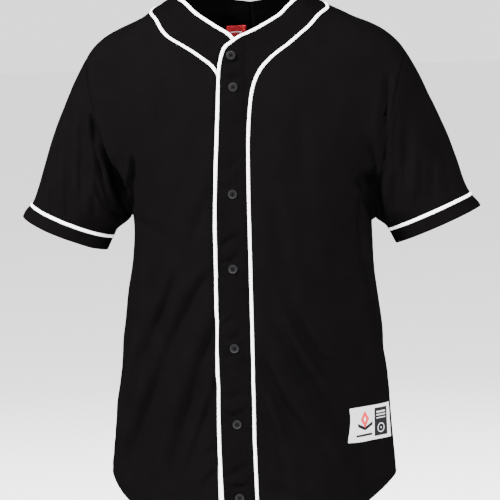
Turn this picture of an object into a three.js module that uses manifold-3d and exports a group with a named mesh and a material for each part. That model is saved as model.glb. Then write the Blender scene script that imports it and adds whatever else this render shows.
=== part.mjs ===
// Baseball jersey worn on a general figure: a hollow shell of cut and sewn panels.
// Millimetres, +Z up, the front towards -Y, the wearer's left towards +X.
// The origin is at the base of the neck, level with the neck seam on top of the shoulders.
import * as THREE from 'three';
import { mergeVertices } from 'three/addons/utils/BufferGeometryUtils.js';
import Module from 'manifold-3d';

const wasm = await Module();
wasm.setup();

// Cloth, braid and labels
const CLOTH = 1.2;            // thickness of every panel and band
const BRAID = 1.0;            // thickness of the white braid
const BRAID_WIDTH = 6.4;
const EDGE_INSET = 0.06;      // share of a band's column left bare outside the edge braid
const BAND_WIDTH = 50;        // front band, seam to free edge
const LABEL = 0.8;            // thickness of a label
const SEAM = 0.3;             // space between two pieces
const SEAM_SPARE = 0.05;      // drawn in beyond half that space
const BRAID_GAP = 0.8;        // space under the braid, which bridges the facets
const OVERLAP_LIFT = 3.5;     // how far the over band stands off the under band
const LIFT_FULL = 5.4;        // turn, degrees, up to which the over band stands off
const LIFT_NONE = 6.7;        // turn from which it lies level with the panel

// Heights
const SIDE_HEM = -724;        // top of the rounded side vent
const FRONT_HEM = -800;
const BACK_HEM = -818;

const HEM_CORNER = 5;         // how late the hem turns up towards the side vents
const HEM_ROUND = 0.38;       // how round it meets them

// Grid of the panels
const AXIS_X = 12;            // upright axis that the trunk's points turn round
const LOW_ROWS = 13;          // hem to armpit
const HIGH_ROWS = 14;         // armpit to shoulder
const FRONT_COLUMNS = 8;
const NECK_ROWS = 6;          // shoulder to the middle of the back
const BAND_COLUMNS = 4;
const SLEEVE_ROWS = 7;        // armhole to the sleeve's braid
const LEVELLING = 1.4;        // how late a panel's rows turn level with its top seam
const SHOULDER_DROP = 1.3;    // how late the shoulder seam drops

// Search for the form's surface
const LEAST_SLOPE = 1.2;      // keeps the trunk's field even near its axis
const PROBE = 0.5;            // half the distance that a normal is measured over
const STRIDE = 4;
const FARTHEST = 440;
const HALVINGS = 18;


function table(names, rows) {
  const columns = {};
  names.forEach((name, i) => { columns[name] = rows.map((row) => row[i]); });
  return columns;
}

// Level sections of the trunk
const TRUNK = table(['height', 'middle', 'half', 'front', 'back', 'round', 'edge'], [
  [60, 3, 66, 62, 62, 2.0, 2.0],
  [30, 4, 88, 70, 72, 2.0, 2.0],
  [15, 5, 106, 77, 82, 2.0, 2.0],
  [0, 6, 131, 83, 90, 2.0, 2.0],
  [-15, 12, 158, 89, 96, 2.0, 2.0],
  [-32, 12, 189, 94, 103, 2.05, 2.05],
  [-52, 12, 211, 99, 109, 2.1, 2.1],
  [-85, 11, 235, 106, 116, 2.15, 2.15],
  [-130, 10, 244, 114, 121, 2.2, 2.2],
  [-180, 11, 231, 121, 122, 2.2, 2.2],
  [-240, 13, 208, 126, 119, 2.2, 2.2],
  [-290, 16, 190, 127, 115, 2.2, 2.2],
  [-330, 17, 184, 126, 111, 2.2, 2.1],
  [-380, 16, 186, 124, 108, 2.2, 1.9],
  [-460, 14, 195, 122, 105, 2.15, 1.6],
  [-540, 13, 206, 122, 104, 2.12, 1.4],
  [-610, 11, 213, 122, 104, 2.1, 1.3],
  [-730, 6, 224, 124, 106, 2.1, 1.2],
  [-860, 6, 232, 126, 108, 2.1, 1.2],
]);

// Sections across a sleeve, by the distance down its middle line
const SLEEVE = table(['along', 'outer', 'inner', 'depth'], [
  [0, 60, 66, 62],
  [60, 67, 80, 70],
  [120, 70.5, 86, 74],
  [180, 68.5, 87, 74],
  [212, 67, 82, 72],
  [240, 68, 67, 70],
  [264, 75.5, 65.5, 70],
  [330, 78, 62, 70],
]);
const SHOULDER = { x: 188, y: 6, z: -97 };
const BODY_X = 12;            // middle between the two sleeves
const HANG = THREE.MathUtils.degToRad(21.7);
const SLEEVE_BACK = 0.06;     // a sleeve hangs slightly to the back
const CAP = 60;

// How softly the sleeves run into the trunk
const BLEND = table(['height', 'reach'], [
  [0, 20], [-80, 34], [-200, 44], [-260, 32], [-295, 16], [-320, 8], [-900, 8],
]);

// Cross lines of the front band above the armpit, as turn in degrees from the front, and height
const OVER_BAND = table(['step', 'seamTurn', 'seam', 'edgeTurn', 'edge'], [
  [0, 7.0, -330, -17.6, -330],
  [1, 7.1, -270, -16.6, -270],
  [2, 7.4, -215, -15.5, -212],
  [3, 8.8, -165, -15.0, -150],
  [4, 11.6, -125, -15.2, -97],
  [5, 17.5, -97, -12.5, -64],
  [6, 26.5, -77, -2.0, -47],
  [7, 38.9, -58, 17.0, -31],
  [8, 51.0, -37, 34.0, -15],
  [9, 66.0, -14, 55.0, 7],
  [10, 90.0, 0, 90.0, 26],
]);
const UNDER_BAND = table(['step', 'seamTurn', 'seam', 'edgeTurn', 'edge'], [
  [0, -15.8, -330, 1.0, -330],
  [1, -14.8, -270, 1.0, -270],
  [2, -13.9, -215, 0.5, -212],
  [3, -13.4, -165, -0.5, -155],
  [4, -13.8, -119, -2.5, -108],
  [5, -19.2, -95, -4.5, -66],
  [6, -27.0, -76, -5.0, -42],
  [7, -38.0, -60, -19.0, -26],
  [8, -50.0, -43, -35.0, -10],
  [9, -66.0, -16, -55.0, 11],
  [10, -90.0, 0, -90.0, 26],
]);
const BACK_NECK = table(['turn', 'seam', 'edge'], [
  [90, 0, 26], [112, -9, 25], [135, -26, 19], [158, -40, 10], [180, -45, 5],
]);
// Turn of the placket's seam and free edge below the armpit
const PLACKET = table(['height', 'overSeam', 'overEdge', 'underSeam', 'underEdge'], [
  [-330, 7.0, -17.6, -15.8, 1.0],
  [-500, 7.0, -19.1, -17.3, 1.0],
  [-650, 6.8, -18.9, -17.2, 1.0],
  [-710, 7.2, -18.2, -18.0, 1.2],
  [-800, 8.0, -16.7, -16.9, 1.5],
]);

// A fold fades out between these two shares of facing the front or the back
const FOLD_SIDE = 0.05;
const FOLD_FACE = 0.45;

// Main folds: a soft trough from one end to the other, on the front (-1) or the back (1)
const FOLDS = table(['x1', 'z1', 'x2', 'z2', 'depth', 'reach', 'side'], [
  [-40, -225, -160, -545, 5, 22, -1],
  [-34, -370, -172, -685, 6, 22, -1],
  [-36, -480, -114, -720, 4, 20, -1],
  [68, -380, 158, -562, 4, 22, -1],
  [60, -465, 192, -698, 6, 22, -1],
  [52, -530, 160, -735, 5, 20, -1],
  [-224, -160, -172, -292, 7, 17, -1],
  [234, -125, 219, -318, 6, 17, -1],
  [-263, -150, -261, -300, 4, 20, -1],
  [300, -190, 305, -290, 4, 20, -1],
  [-130, -210, -62, -520, 5, 26, 1],
  [128, -235, 78, -570, 5, 26, 1],
  [-158, -430, -112, -700, 5, 24, 1],
  [160, -410, 126, -690, 5, 24, 1],
  [4, -400, 14, -720, 4, 26, 1],
  [-218, -150, -186, -300, 6, 18, 1],
  [238, -150, 208, -300, 6, 18, 1],
]);

// Buttons down the placket
const BUTTON = {
  radius: 7, foot: 5, height: 3, belly: 1.35, shoulder: 2.25,
  rim: 1.4, dish: 0.9, hole: 0.95, spread: 1.9, sides: 18, holeSides: 6,
};
const BUTTONS = table(['x', 'height'], [
  [4, -73], [7, -120], [4, -279], [1, -392], [0, -513], [1, -629], [2, -742],
]);

// Colours
const BLACK_CLOTH = { color: 0x141315, roughness: 0.78, metalness: 0 };
const BLACK_BAND = { color: 0x171618, roughness: 0.75, metalness: 0 };
const WHITE_BRAID = { color: 0xf2f2f0, roughness: 0.8, metalness: 0 };
const BLACK_PLASTIC = { color: 0x0c0c0d, roughness: 0.3, metalness: 0 };
const GREY_LABEL = { color: 0xd8d8d8, roughness: 0.7, metalness: 0 };
const RED_LABEL = { color: 0xa81e26, roughness: 0.7, metalness: 0 };

// A smooth curve through one column of a table, with no overshoot between its rows
function smooth(columns, key, value) {
  let at = columns[key];
  let v = columns[value];
  if (at[0] > at[at.length - 1]) {
    at = [...at].reverse();
    v = [...v].reverse();
  }
  const last = at.length - 1;
  const rise = at.slice(1).map((x, i) => (v[i + 1] - v[i]) / (x - at[i]));
  const slope = at.map((x, i) => {
    if (i === 0) return rise[0];
    if (i === last) return rise[last - 1];
    const product = rise[i - 1] * rise[i];
    return product <= 0 ? 0 : (2 * product) / (rise[i - 1] + rise[i]);
  });
  return (x) => {
    const t = THREE.MathUtils.clamp(x, at[0], at[last]);
    let k = 0;
    while (k < last - 1 && t >= at[k + 1]) k += 1;
    const h = at[k + 1] - at[k];
    const u = (t - at[k]) / h;
    const v0 = (2 * u ** 3 - 3 * u ** 2 + 1) * v[k] + (-2 * u ** 3 + 3 * u ** 2) * v[k + 1];
    return v0 + (u ** 3 - 2 * u ** 2 + u) * h * slope[k] + (u ** 3 - u ** 2) * h * slope[k + 1];
  };
}

const trunk = {};
for (const name of ['middle', 'half', 'front', 'back', 'round', 'edge']) {
  trunk[name] = smooth(TRUNK, 'height', name);
}
const sleeve = {};
for (const name of ['outer', 'inner', 'depth']) sleeve[name] = smooth(SLEEVE, 'along', name);
const blend = smooth(BLEND, 'height', 'reach');

function trunkField(p) {
  const half = trunk.half(p.z);
  const depth = p.y < 0 ? trunk.front(p.z) : trunk.back(p.z);
  const m = trunk.round(p.z);
  const n = trunk.edge(p.z);
  const x = Math.abs(p.x - trunk.middle(p.z)) / half;
  const y = Math.abs(p.y) / depth;
  const slope = Math.hypot((m * x ** (m - 1)) / half, (n * y ** (n - 1)) / depth);
  return (x ** m + y ** n - 1) / Math.max(slope, LEAST_SLOPE / half);
}

function sleeveFrame(side) {
  const down = new THREE.Vector3(side * Math.sin(HANG), SLEEVE_BACK, -Math.cos(HANG)).normalize();
  const out = new THREE.Vector3(side * Math.cos(HANG), 0, Math.sin(HANG));
  const across = new THREE.Vector3().crossVectors(down, out);
  const top = new THREE.Vector3(BODY_X + side * SHOULDER.x, SHOULDER.y, SHOULDER.z);
  return { down, out, across, top };
}
const sleeveFrames = { [-1]: sleeveFrame(-1), 1: sleeveFrame(1) };

function sleeveField(p, side) {
  const { down, out, across, top } = sleeveFrames[side];
  const q = p.clone().sub(top);
  const along = q.dot(down);
  const outer = sleeve.outer(along);
  const inner = sleeve.inner(along);
  const depth = sleeve.depth(along);
  const radius = (outer + inner) / 2;
  const w = (q.dot(out) - (outer - inner) / 2) / radius;
  const v = q.dot(across) / depth;
  return (Math.hypot(w, v, Math.min(along, 0) / CAP) - 1) * Math.min(radius, depth);
}

// Signed distance, roughly, from the form that the garment lies on
function form(p) {
  const a = trunkField(p);
  const b = sleeveField(p, p.x < BODY_X ? -1 : 1);
  const reach = blend(p.z);
  const h = Math.max(reach - Math.abs(a - b), 0) / reach;
  return Math.min(a, b) - (h * h * reach) / 4;
}

function normalAt(p) {
  const n = new THREE.Vector3();
  for (const axis of ['x', 'y', 'z']) {
    const ahead = p.clone();
    const behind = p.clone();
    ahead[axis] += PROBE;
    behind[axis] -= PROBE;
    n[axis] = form(ahead) - form(behind);
  }
  return n.normalize();
}

// The first point of the form's surface from a point inside it
function march(from, direction) {
  let inside = 0;
  while (inside < FARTHEST && form(from.clone().addScaledVector(direction, inside + STRIDE)) < 0) {
    inside += STRIDE;
  }
  let low = inside;
  let high = inside + STRIDE;
  for (let i = 0; i < HALVINGS; i += 1) {
    const middle = (low + high) / 2;
    if (form(from.clone().addScaledVector(direction, middle)) < 0) low = middle;
    else high = middle;
  }
  return from.clone().addScaledVector(direction, (low + high) / 2);
}

// Troughs pressed into a point of the form
function folded(p, n) {
  let press = 0;
  FOLDS.x1.forEach((x1, i) => {
    const side = FOLDS.side[i];
    const facing = THREE.MathUtils.smoothstep(side * n.y, FOLD_SIDE, FOLD_FACE);
    const dx = FOLDS.x2[i] - x1;
    const dz = FOLDS.z2[i] - FOLDS.z1[i];
    const length = Math.hypot(dx, dz);
    const along = ((p.x - x1) * dx + (p.z - FOLDS.z1[i]) * dz) / length ** 2;
    const off = ((p.x - x1) * dz - (p.z - FOLDS.z1[i]) * dx) / length;
    const t = THREE.MathUtils.clamp(along, 0, 1);
    press += facing * FOLDS.depth[i] * Math.sin(Math.PI * t) * Math.exp(-((off / FOLDS.reach[i]) ** 2));
  });
  return p.clone().addScaledVector(n, -press);
}

// A node of a grid: the folded point, the outward normal and where it came from
function node(p) {
  const n = normalAt(p);
  return { p: folded(p, n), n, base: p };
}

function turned(turn, height) {
  const a = THREE.MathUtils.degToRad(turn);
  return march(new THREE.Vector3(AXIS_X, 0, height), new THREE.Vector3(Math.sin(a), -Math.cos(a), 0));
}

function turnOf(p) {
  return THREE.MathUtils.radToDeg(Math.atan2(p.x - AXIS_X, -p.y));
}

// Planes across a sleeve, from the armhole (0) to the braid (1) and the cuff (2)
const SLEEVE_PLANE = ['step', 'innerX', 'innerZ', 'outerX', 'outerZ'];
const SLEEVE_PLANES = {
  1: table(SLEEVE_PLANE, [
    [0, 196, -330, 246, -77],
    [1, 214, -349, 337, -297],
    [2, 222, -371, 351, -317],
  ]),
  [-1]: table(SLEEVE_PLANE, [
    [0, 189, -316, 246, -77],
    [1, 214, -355, 337, -303],
    [2, 222, -377, 351, -323],
  ]),
};

function sleevePoint(side, step, around) {
  const k = step < 1 ? 0 : 1;
  const planes = SLEEVE_PLANES[side];
  const between = (name) => THREE.MathUtils.lerp(planes[name][k], planes[name][k + 1], step - k);
  const inner = new THREE.Vector3(side * between('innerX') + BODY_X, 0, between('innerZ'));
  const outer = new THREE.Vector3(side * between('outerX') + BODY_X, 0, between('outerZ'));
  const up = outer.clone().sub(inner).normalize();
  const middle = inner.clone().lerp(outer, 0.5);
  middle.y = SHOULDER.y;
  const a = THREE.MathUtils.degToRad(around);
  const direction = up.multiplyScalar(Math.cos(a)).add(new THREE.Vector3(0, -Math.sin(a), 0));
  return march(middle, direction.normalize());
}

// Points of the armhole seam from the armpit (0) to the shoulder point (HIGH_ROWS)
function armhole(side, face) {
  const points = [];
  for (let j = 0; j <= HIGH_ROWS; j += 1) {
    points.push(sleevePoint(side, 0, face * 180 * (1 - j / HIGH_ROWS)));
  }
  return points;
}
const armholes = {
  [-1]: { front: armhole(-1, 1), back: armhole(-1, -1) },
  1: { front: armhole(1, 1), back: armhole(1, -1) },
};

// Round hem: level along the middle and rising to the side vents
function hemHeight(turn, bottom) {
  const across = Math.min(Math.abs(Math.sin(THREE.MathUtils.degToRad(turn))), 1);
  const rise = 1 - (1 - across ** HEM_CORNER) ** HEM_ROUND;
  return THREE.MathUtils.lerp(bottom, SIDE_HEM, rise);
}

function lowRow(j) {
  return j / LOW_ROWS;
}

// Turn and height of the placket's seam or edge, below the armpit
function placket(name, j, bottom) {
  const height = THREE.MathUtils.lerp(bottom, OVER_BAND.seam[0], lowRow(j));
  return { turn: smooth(PLACKET, 'height', name)(height), height };
}

// One edge of a front band, hem to shoulder and on to the middle of the back
function bandLine(band, side, isSeam) {
  const name = (side > 0 ? 'over' : 'under') + (isSeam ? 'Seam' : 'Edge');
  const turnCurve = smooth(band, 'step', isSeam ? 'seamTurn' : 'edgeTurn');
  const heightCurve = smooth(band, 'step', isSeam ? 'seam' : 'edge');
  const backCurve = smooth(BACK_NECK, 'turn', isSeam ? 'seam' : 'edge');
  const steps = band.step[band.step.length - 1];
  const line = [];
  for (let j = 0; j < LOW_ROWS; j += 1) line.push(placket(name, j, FRONT_HEM));
  for (let j = 0; j <= HIGH_ROWS; j += 1) {
    const step = (steps * j) / HIGH_ROWS;
    line.push({ turn: turnCurve(step), height: heightCurve(step) });
  }
  for (let j = 1; j <= NECK_ROWS; j += 1) {
    const turn = 90 + (90 * j) / NECK_ROWS;
    line.push({ turn: side * turn, height: backCurve(turn) });
  }
  return line.map(({ turn, height }) => turned(turn, height));
}

const seamLines = { 1: bandLine(OVER_BAND, 1, true), [-1]: bandLine(UNDER_BAND, -1, true) };
const edgeLines = { 1: bandLine(OVER_BAND, 1, false), [-1]: bandLine(UNDER_BAND, -1, false) };

// Grid of a front band, free edge (0) to seam (BAND_COLUMNS), with the over band standing off
function bandGrid(side) {
  const seam = seamLines[side];
  const edge = edgeLines[side];
  return seam.map((seamPoint, j) => {
    const row = [];
    for (let i = 0; i <= BAND_COLUMNS; i += 1) {
      const share = i / BAND_COLUMNS;
      if (share === 1) {
        row.push(node(seamPoint));
      } else {
        const from = turnOf(edge[j]);
        let to = turnOf(seamPoint);
        if (to - from > 180) to -= 360;
        if (from - to > 180) to += 360;
        const turn = THREE.MathUtils.lerp(from, to, share);
        row.push(node(turned(turn, THREE.MathUtils.lerp(edge[j].z, seamPoint.z, share))));
      }
      if (side > 0) {
        const last = row[row.length - 1];
        const lift = 1 - THREE.MathUtils.smoothstep(turnOf(last.base), LIFT_FULL, LIFT_NONE);
        const isFront = turnOf(last.base) > -90 ? 1 : 0;
        last.p.addScaledVector(last.n, isFront * lift * OVERLAP_LIFT);
      }
    }
    return row;
  });
}

// Grid of a panel between two edges, with its bottom and top rows given as turn and height
function panelGrid(left, right, columns, bottom, top) {
  const rows = left.length - 1;
  const grid = [];
  for (let j = 0; j <= rows; j += 1) {
    const low = Math.max(0, 1 - j / LOW_ROWS);
    const high = Math.max(0, (j - LOW_ROWS) / HIGH_ROWS) ** LEVELLING;
    const row = [];
    for (let i = 0; i <= columns; i += 1) {
      const s = i / columns;
      const line = (k, name) => THREE.MathUtils.lerp(left[k][name], right[k][name], s);
      const turn = line(j, 'turn') + high * (top[i].turn - line(rows, 'turn'));
      const z = line(j, 'height') + low * (bottom[i].height - line(0, 'height'))
        + high * (top[i].height - line(rows, 'height'));
      let point;
      if (i === 0) point = left[j].point;
      else if (i === columns) point = right[j].point;
      else if (j === rows) point = top[i].point;
      else point = turned(turn, z);
      row.push(node(point));
    }
    grid.push(row);
  }
  return grid;
}

function marked(point, turn = turnOf(point)) {
  return { point, turn, height: point.z };
}

// Side seam and armhole edge, hem to shoulder point
function outerEdge(side, face) {
  const edge = [];
  const armpit = SLEEVE_PLANES[side].innerZ[0];
  for (let j = 0; j < LOW_ROWS; j += 1) {
    edge.push(turned(side * 90, THREE.MathUtils.lerp(SIDE_HEM, armpit, lowRow(j))));
  }
  return edge.concat(armholes[side][face]);
}

// Shoulder seam from the neck to the shoulder point
function shoulderSeam(side) {
  const neckPoint = seamLines[side][LOW_ROWS + HIGH_ROWS];
  const endPoint = armholes[side].front[HIGH_ROWS];
  const points = [neckPoint];
  for (let i = 1; i < FRONT_COLUMNS; i += 1) {
    const drop = (i / FRONT_COLUMNS) ** SHOULDER_DROP;
    points.push(turned(side * 90, THREE.MathUtils.lerp(neckPoint.z, endPoint.z, drop)));
  }
  points.push(endPoint);
  return points;
}

function frontGrid(side) {
  const inner = seamLines[side].slice(0, LOW_ROWS + HIGH_ROWS + 1).map((p) => marked(p));
  const outer = outerEdge(side, 'front').map((p) => marked(p));
  const from = inner[0].turn;
  const bottom = [];
  for (let i = 0; i <= FRONT_COLUMNS; i += 1) {
    const turn = THREE.MathUtils.lerp(from, side * 90, i / FRONT_COLUMNS);
    bottom.push({ height: hemHeight(turn, FRONT_HEM) });
  }
  return panelGrid(inner, outer, FRONT_COLUMNS, bottom, shoulderSeam(side).map((p) => marked(p)));
}

// The back runs from the wearer's left to the wearer's right, turns 90 to 270
function backTurn(p) {
  const turn = turnOf(p);
  return turn < 0 ? turn + 360 : turn;
}

function backGrid() {
  const neck = LOW_ROWS + HIGH_ROWS;
  const neckLeft = seamLines[1].slice(neck);
  const neckRight = seamLines[-1].slice(neck, -1).reverse();
  const shoulderLeft = shoulderSeam(1).reverse().slice(0, -1);
  const shoulderRight = shoulderSeam(-1).slice(1);
  const top = [...shoulderLeft, ...neckLeft, ...neckRight, ...shoulderRight];
  const columns = top.length - 1;
  const bottom = [];
  for (let i = 0; i <= columns; i += 1) {
    bottom.push({ height: hemHeight(90 + (180 * i) / columns, BACK_HEM) });
  }
  const mark = (p) => marked(p, backTurn(p));
  const left = outerEdge(1, 'back').map(mark);
  const right = outerEdge(-1, 'back').map(mark);
  return panelGrid(left, right, columns, bottom, top.map(mark));
}

// Rings of a sleeve from the armhole to the cuff, closed round
function sleeveGrid(side) {
  const steps = [];
  for (let j = 0; j <= SLEEVE_ROWS; j += 1) steps.push(j / SLEEVE_ROWS);
  steps.push(2);
  const around = 2 * HIGH_ROWS;
  return steps.map((step) => {
    const ring = [];
    for (let i = 0; i < around; i += 1) {
      ring.push(node(sleevePoint(side, step, (360 * i) / around)));
    }
    return ring;
  });
}

// Points of a grid at fractions of its rows and columns, so that they lie on its facets
function sample(grid, row, column) {
  const j = Math.min(Math.floor(row), grid.length - 2);
  const i = Math.min(Math.floor(column), grid[0].length - 2);
  const v = row - j;
  const u = column - i;
  const mix = (key) => {
    const low = grid[j][i][key].clone().lerp(grid[j][i + 1][key], u);
    return low.lerp(grid[j + 1][i][key].clone().lerp(grid[j + 1][i + 1][key], u), v);
  };
  return { p: mix('p'), n: mix('n').normalize() };
}

// Fractions from one value to another, with every whole number between them
function cuts(from, to) {
  const list = [from];
  for (let k = Math.floor(from) + 1; k < to; k += 1) list.push(k);
  list.push(to);
  return list;
}

function patch(grid, rows, columns) {
  return rows.map((row) => columns.map((column) => sample(grid, row, column)));
}

// Draws the border of a grid in by half the space at a seam
function drawnIn(grid, closed = false) {
  const rows = grid.length - 1;
  const columns = grid[0].length - 1;
  const toward = (a, b) => {
    const shift = b.p.clone().sub(a.p);
    return shift.setLength(Math.min(SEAM / 2 + SEAM_SPARE, shift.length() / 3));
  };
  return grid.map((row, j) => row.map((at, i) => {
    const p = at.p.clone();
    if (j === 0) p.add(toward(at, grid[1][i]));
    if (j === rows) p.add(toward(at, grid[rows - 1][i]));
    if (!closed && i === 0) p.add(toward(at, row[1]));
    if (!closed && i === columns) p.add(toward(at, row[columns - 1]));
    return { p, n: at.n };
  }));
}

// A closed wall over a grid, between two distances along its normals
function wall(grid, low, high, closed = false) {
  const rows = grid.length;
  const columns = grid[0].length;
  const positions = [];
  for (const distance of [low, high]) {
    for (const row of grid) {
      for (const { p, n } of row) positions.push(...p.clone().addScaledVector(n, distance).toArray());
    }
  }
  const at = (face, j, i) => face * rows * columns + j * columns + (i % columns);
  const index = [];
  const quad = (a, b, c, d) => index.push(a, b, c, a, c, d);
  const across = closed ? columns : columns - 1;
  for (let j = 0; j < rows - 1; j += 1) {
    for (let i = 0; i < across; i += 1) {
      quad(at(1, j, i), at(1, j, i + 1), at(1, j + 1, i + 1), at(1, j + 1, i));
      quad(at(0, j, i), at(0, j + 1, i), at(0, j + 1, i + 1), at(0, j, i + 1));
    }
  }
  for (let i = 0; i < across; i += 1) {
    quad(at(0, 0, i), at(0, 0, i + 1), at(1, 0, i + 1), at(1, 0, i));
    quad(at(1, rows - 1, i), at(1, rows - 1, i + 1), at(0, rows - 1, i + 1), at(0, rows - 1, i));
  }
  if (!closed) {
    for (let j = 0; j < rows - 1; j += 1) {
      quad(at(0, j + 1, 0), at(0, j, 0), at(1, j, 0), at(1, j + 1, 0));
      quad(at(0, j, across), at(0, j + 1, across), at(1, j + 1, across), at(1, j, across));
    }
  }
  if (volume(positions, index) < 0) {
    for (let k = 0; k < index.length; k += 3) [index[k + 1], index[k + 2]] = [index[k + 2], index[k + 1]];
  }
  const geometry = new THREE.BufferGeometry();
  geometry.setAttribute('position', new THREE.Float32BufferAttribute(positions, 3));
  geometry.setIndex(index);
  geometry.computeVertexNormals();
  return geometry;
}

function volume(positions, index) {
  const corner = (k) => new THREE.Vector3().fromArray(positions, 3 * index[k]);
  let sum = 0;
  for (let k = 0; k < index.length; k += 3) sum += corner(k).dot(corner(k + 1).cross(corner(k + 2)));
  return sum;
}

function toManifold(geometry) {
  const bare = geometry.clone();
  bare.deleteAttribute('normal');
  bare.deleteAttribute('uv');
  const merged = mergeVertices(bare);
  return new wasm.Manifold(new wasm.Mesh({
    numProp: 3,
    vertProperties: new Float32Array(merged.attributes.position.array),
    triVerts: new Uint32Array(merged.index.array),
  }));
}

function fromManifold(solid) {
  const mesh = solid.getMesh();
  const geometry = new THREE.BufferGeometry();
  geometry.setAttribute('position', new THREE.Float32BufferAttribute(mesh.vertProperties, 3));
  geometry.setIndex(Array.from(mesh.triVerts));
  geometry.computeVertexNormals();
  return geometry;
}

// A button with a rim, a sunk middle and four holes, its back on the plane z = 0
function buttonGeometry() {
  const { radius, foot, height, belly, shoulder, rim, dish, hole, spread } = BUTTON;
  const profile = [
    [0, 0], [foot, 0], [radius, belly], [radius, shoulder],
    [radius - rim / 2, height], [radius - rim, height], [radius - rim * 2, height - dish],
    [0, height - dish],
  ].map(([x, y]) => new THREE.Vector2(x, y));
  const disc = new THREE.LatheGeometry(profile, BUTTON.sides);
  disc.rotateX(Math.PI / 2);
  let solid = toManifold(disc);
  for (const x of [-1, 1]) {
    for (const y of [-1, 1]) {
      const drill = new THREE.CylinderGeometry(hole, hole, height * 3, BUTTON.holeSides);
      drill.rotateX(Math.PI / 2);
      drill.translate((x * spread) / Math.SQRT2, (y * spread) / Math.SQRT2, 0);
      solid = solid.subtract(toManifold(drill));
    }
  }
  return fromManifold(solid);
}

const jersey = new THREE.Group();
jersey.name = 'baseball_jersey';

function piece(name, geometry, look) {
  const mesh = new THREE.Mesh(geometry, new THREE.MeshStandardMaterial(look));
  mesh.name = name;
  jersey.add(mesh);
  return mesh;
}

const half = CLOTH / 2;
const braidLow = half + BRAID_GAP;
const braidHigh = braidLow + BRAID;
const fronts = { 1: frontGrid(1), [-1]: frontGrid(-1) };
const bands = { 1: bandGrid(1), [-1]: bandGrid(-1) };
const sleeves = { 1: sleeveGrid(1), [-1]: sleeveGrid(-1) };
const back = backGrid();
const sideName = { 1: 'left', [-1]: 'right' };

piece('back', wall(drawnIn(back), -half, half), BLACK_CLOTH);
for (const side of [1, -1]) {
  piece(`front_${sideName[side]}`, wall(drawnIn(fronts[side]), -half, half), BLACK_CLOTH);
  piece(`band_${sideName[side]}`, wall(drawnIn(bands[side]), -half, half), BLACK_BAND);
  piece(`sleeve_${sideName[side]}`, wall(drawnIn(sleeves[side], true), -half, half, true), BLACK_CLOTH);
}

// White braid along a band's free edge and along its seam
const edgeShare = (BRAID_WIDTH / BAND_WIDTH) * BAND_COLUMNS;

function edgeBraid(side) {
  const rows = bands[side].map((row, j) => j);
  return drawnIn(patch(bands[side], rows, [EDGE_INSET, edgeShare + EDGE_INSET]));
}

function stepFrom(at, next, distance) {
  const share = distance / at.p.distanceTo(next.p);
  return { p: at.p.clone().lerp(next.p, share), n: at.n.clone().lerp(next.n, share).normalize() };
}

function seamBraid(side) {
  const neck = LOW_ROWS + HIGH_ROWS;
  const width = BRAID_WIDTH / 2;
  return drawnIn(bands[side].map((row, j) => {
    const seam = row[BAND_COLUMNS];
    let outside;
    if (j <= neck) {
      outside = fronts[side][j][1];
    } else {
      const column = FRONT_COLUMNS + (side > 0 ? j - neck : 2 * NECK_ROWS - (j - neck));
      outside = back[back.length - 2][column];
    }
    return [stepFrom(seam, row[BAND_COLUMNS - 1], width), seam, stepFrom(seam, outside, width)];
  }));
}

// White braid round a sleeve, between two of its rings
function cuffBraid(side) {
  const rings = sleeves[side];
  return rings[SLEEVE_ROWS].map((at, i) => [
    stepFrom(at, rings[SLEEVE_ROWS - 1][i], BRAID_WIDTH / 2),
    at,
    stepFrom(at, rings[SLEEVE_ROWS + 1][i], BRAID_WIDTH / 2),
  ]);
}

function turnedOver(grid) {
  return grid[0].map((first, i) => grid.map((row) => row[i]));
}

for (const side of [1, -1]) {
  piece(`braid_edge_${sideName[side]}`, wall(edgeBraid(side), braidLow, braidHigh), WHITE_BRAID);
  piece(`braid_seam_${sideName[side]}`, wall(seamBraid(side), braidLow, braidHigh), WHITE_BRAID);
  const cuff = turnedOver(cuffBraid(side));
  piece(`braid_sleeve_${sideName[side]}`, wall(cuff, braidLow, braidHigh, true), WHITE_BRAID);
}

// Buttons, facing along the band's own direction
const button = buttonGeometry();
BUTTONS.x.forEach((x, k) => {
  const height = BUTTONS.height[k];
  const front = new THREE.Vector3(0, -1, 0);
  const at = node(march(new THREE.Vector3(x, 0, height), front));
  const mesh = piece(`button_${k + 1}`, button, BLACK_PLASTIC);
  mesh.quaternion.setFromUnitVectors(new THREE.Vector3(0, 0, 1), at.n);
  mesh.position.copy(at.p).addScaledVector(at.n, OVERLAP_LIFT + half + 2 * SEAM);
});

// The hem label lies on the form, which the flat facets of its panel stay within
const HEM_LABEL = { turn: [65.5, 88.3], height: [-669, -615], columns: 8, rows: 3, gap: 0.8 };

function hemLabelGrid() {
  const { turn, height, columns, rows } = HEM_LABEL;
  const grid = [];
  for (let j = 0; j <= rows; j += 1) {
    const z = THREE.MathUtils.lerp(height[0], height[1], j / rows);
    const row = [];
    for (let i = 0; i <= columns; i += 1) {
      row.push(node(turned(THREE.MathUtils.lerp(turn[0], turn[1], i / columns), z)));
    }
    grid.push(row);
  }
  return grid;
}
const hemLabelLow = half + HEM_LABEL.gap;
piece('hem_label', wall(hemLabelGrid(), hemLabelLow, hemLabelLow + LABEL), GREY_LABEL);

// The neck label hangs inside the neck, over the seam between the band and the back
const collar = [
  ...bands[1].slice(LOW_ROWS + HIGH_ROWS),
  ...bands[-1].slice(LOW_ROWS + HIGH_ROWS, -1).reverse(),
].map((row, k) => [...row, back[back.length - 2][FRONT_COLUMNS + k]]);
const NECK_LABEL = { rows: [NECK_ROWS + 0.37, NECK_ROWS + 1.45], columns: [3.25, 4.3], gap: 0.8 };
const neckGrid = patch(collar, cuts(...NECK_LABEL.rows), cuts(...NECK_LABEL.columns));
const neckLabelHigh = -half - NECK_LABEL.gap;
piece('neck_label', wall(neckGrid, neckLabelHigh - LABEL, neckLabelHigh), RED_LABEL);

export default jersey;
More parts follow.
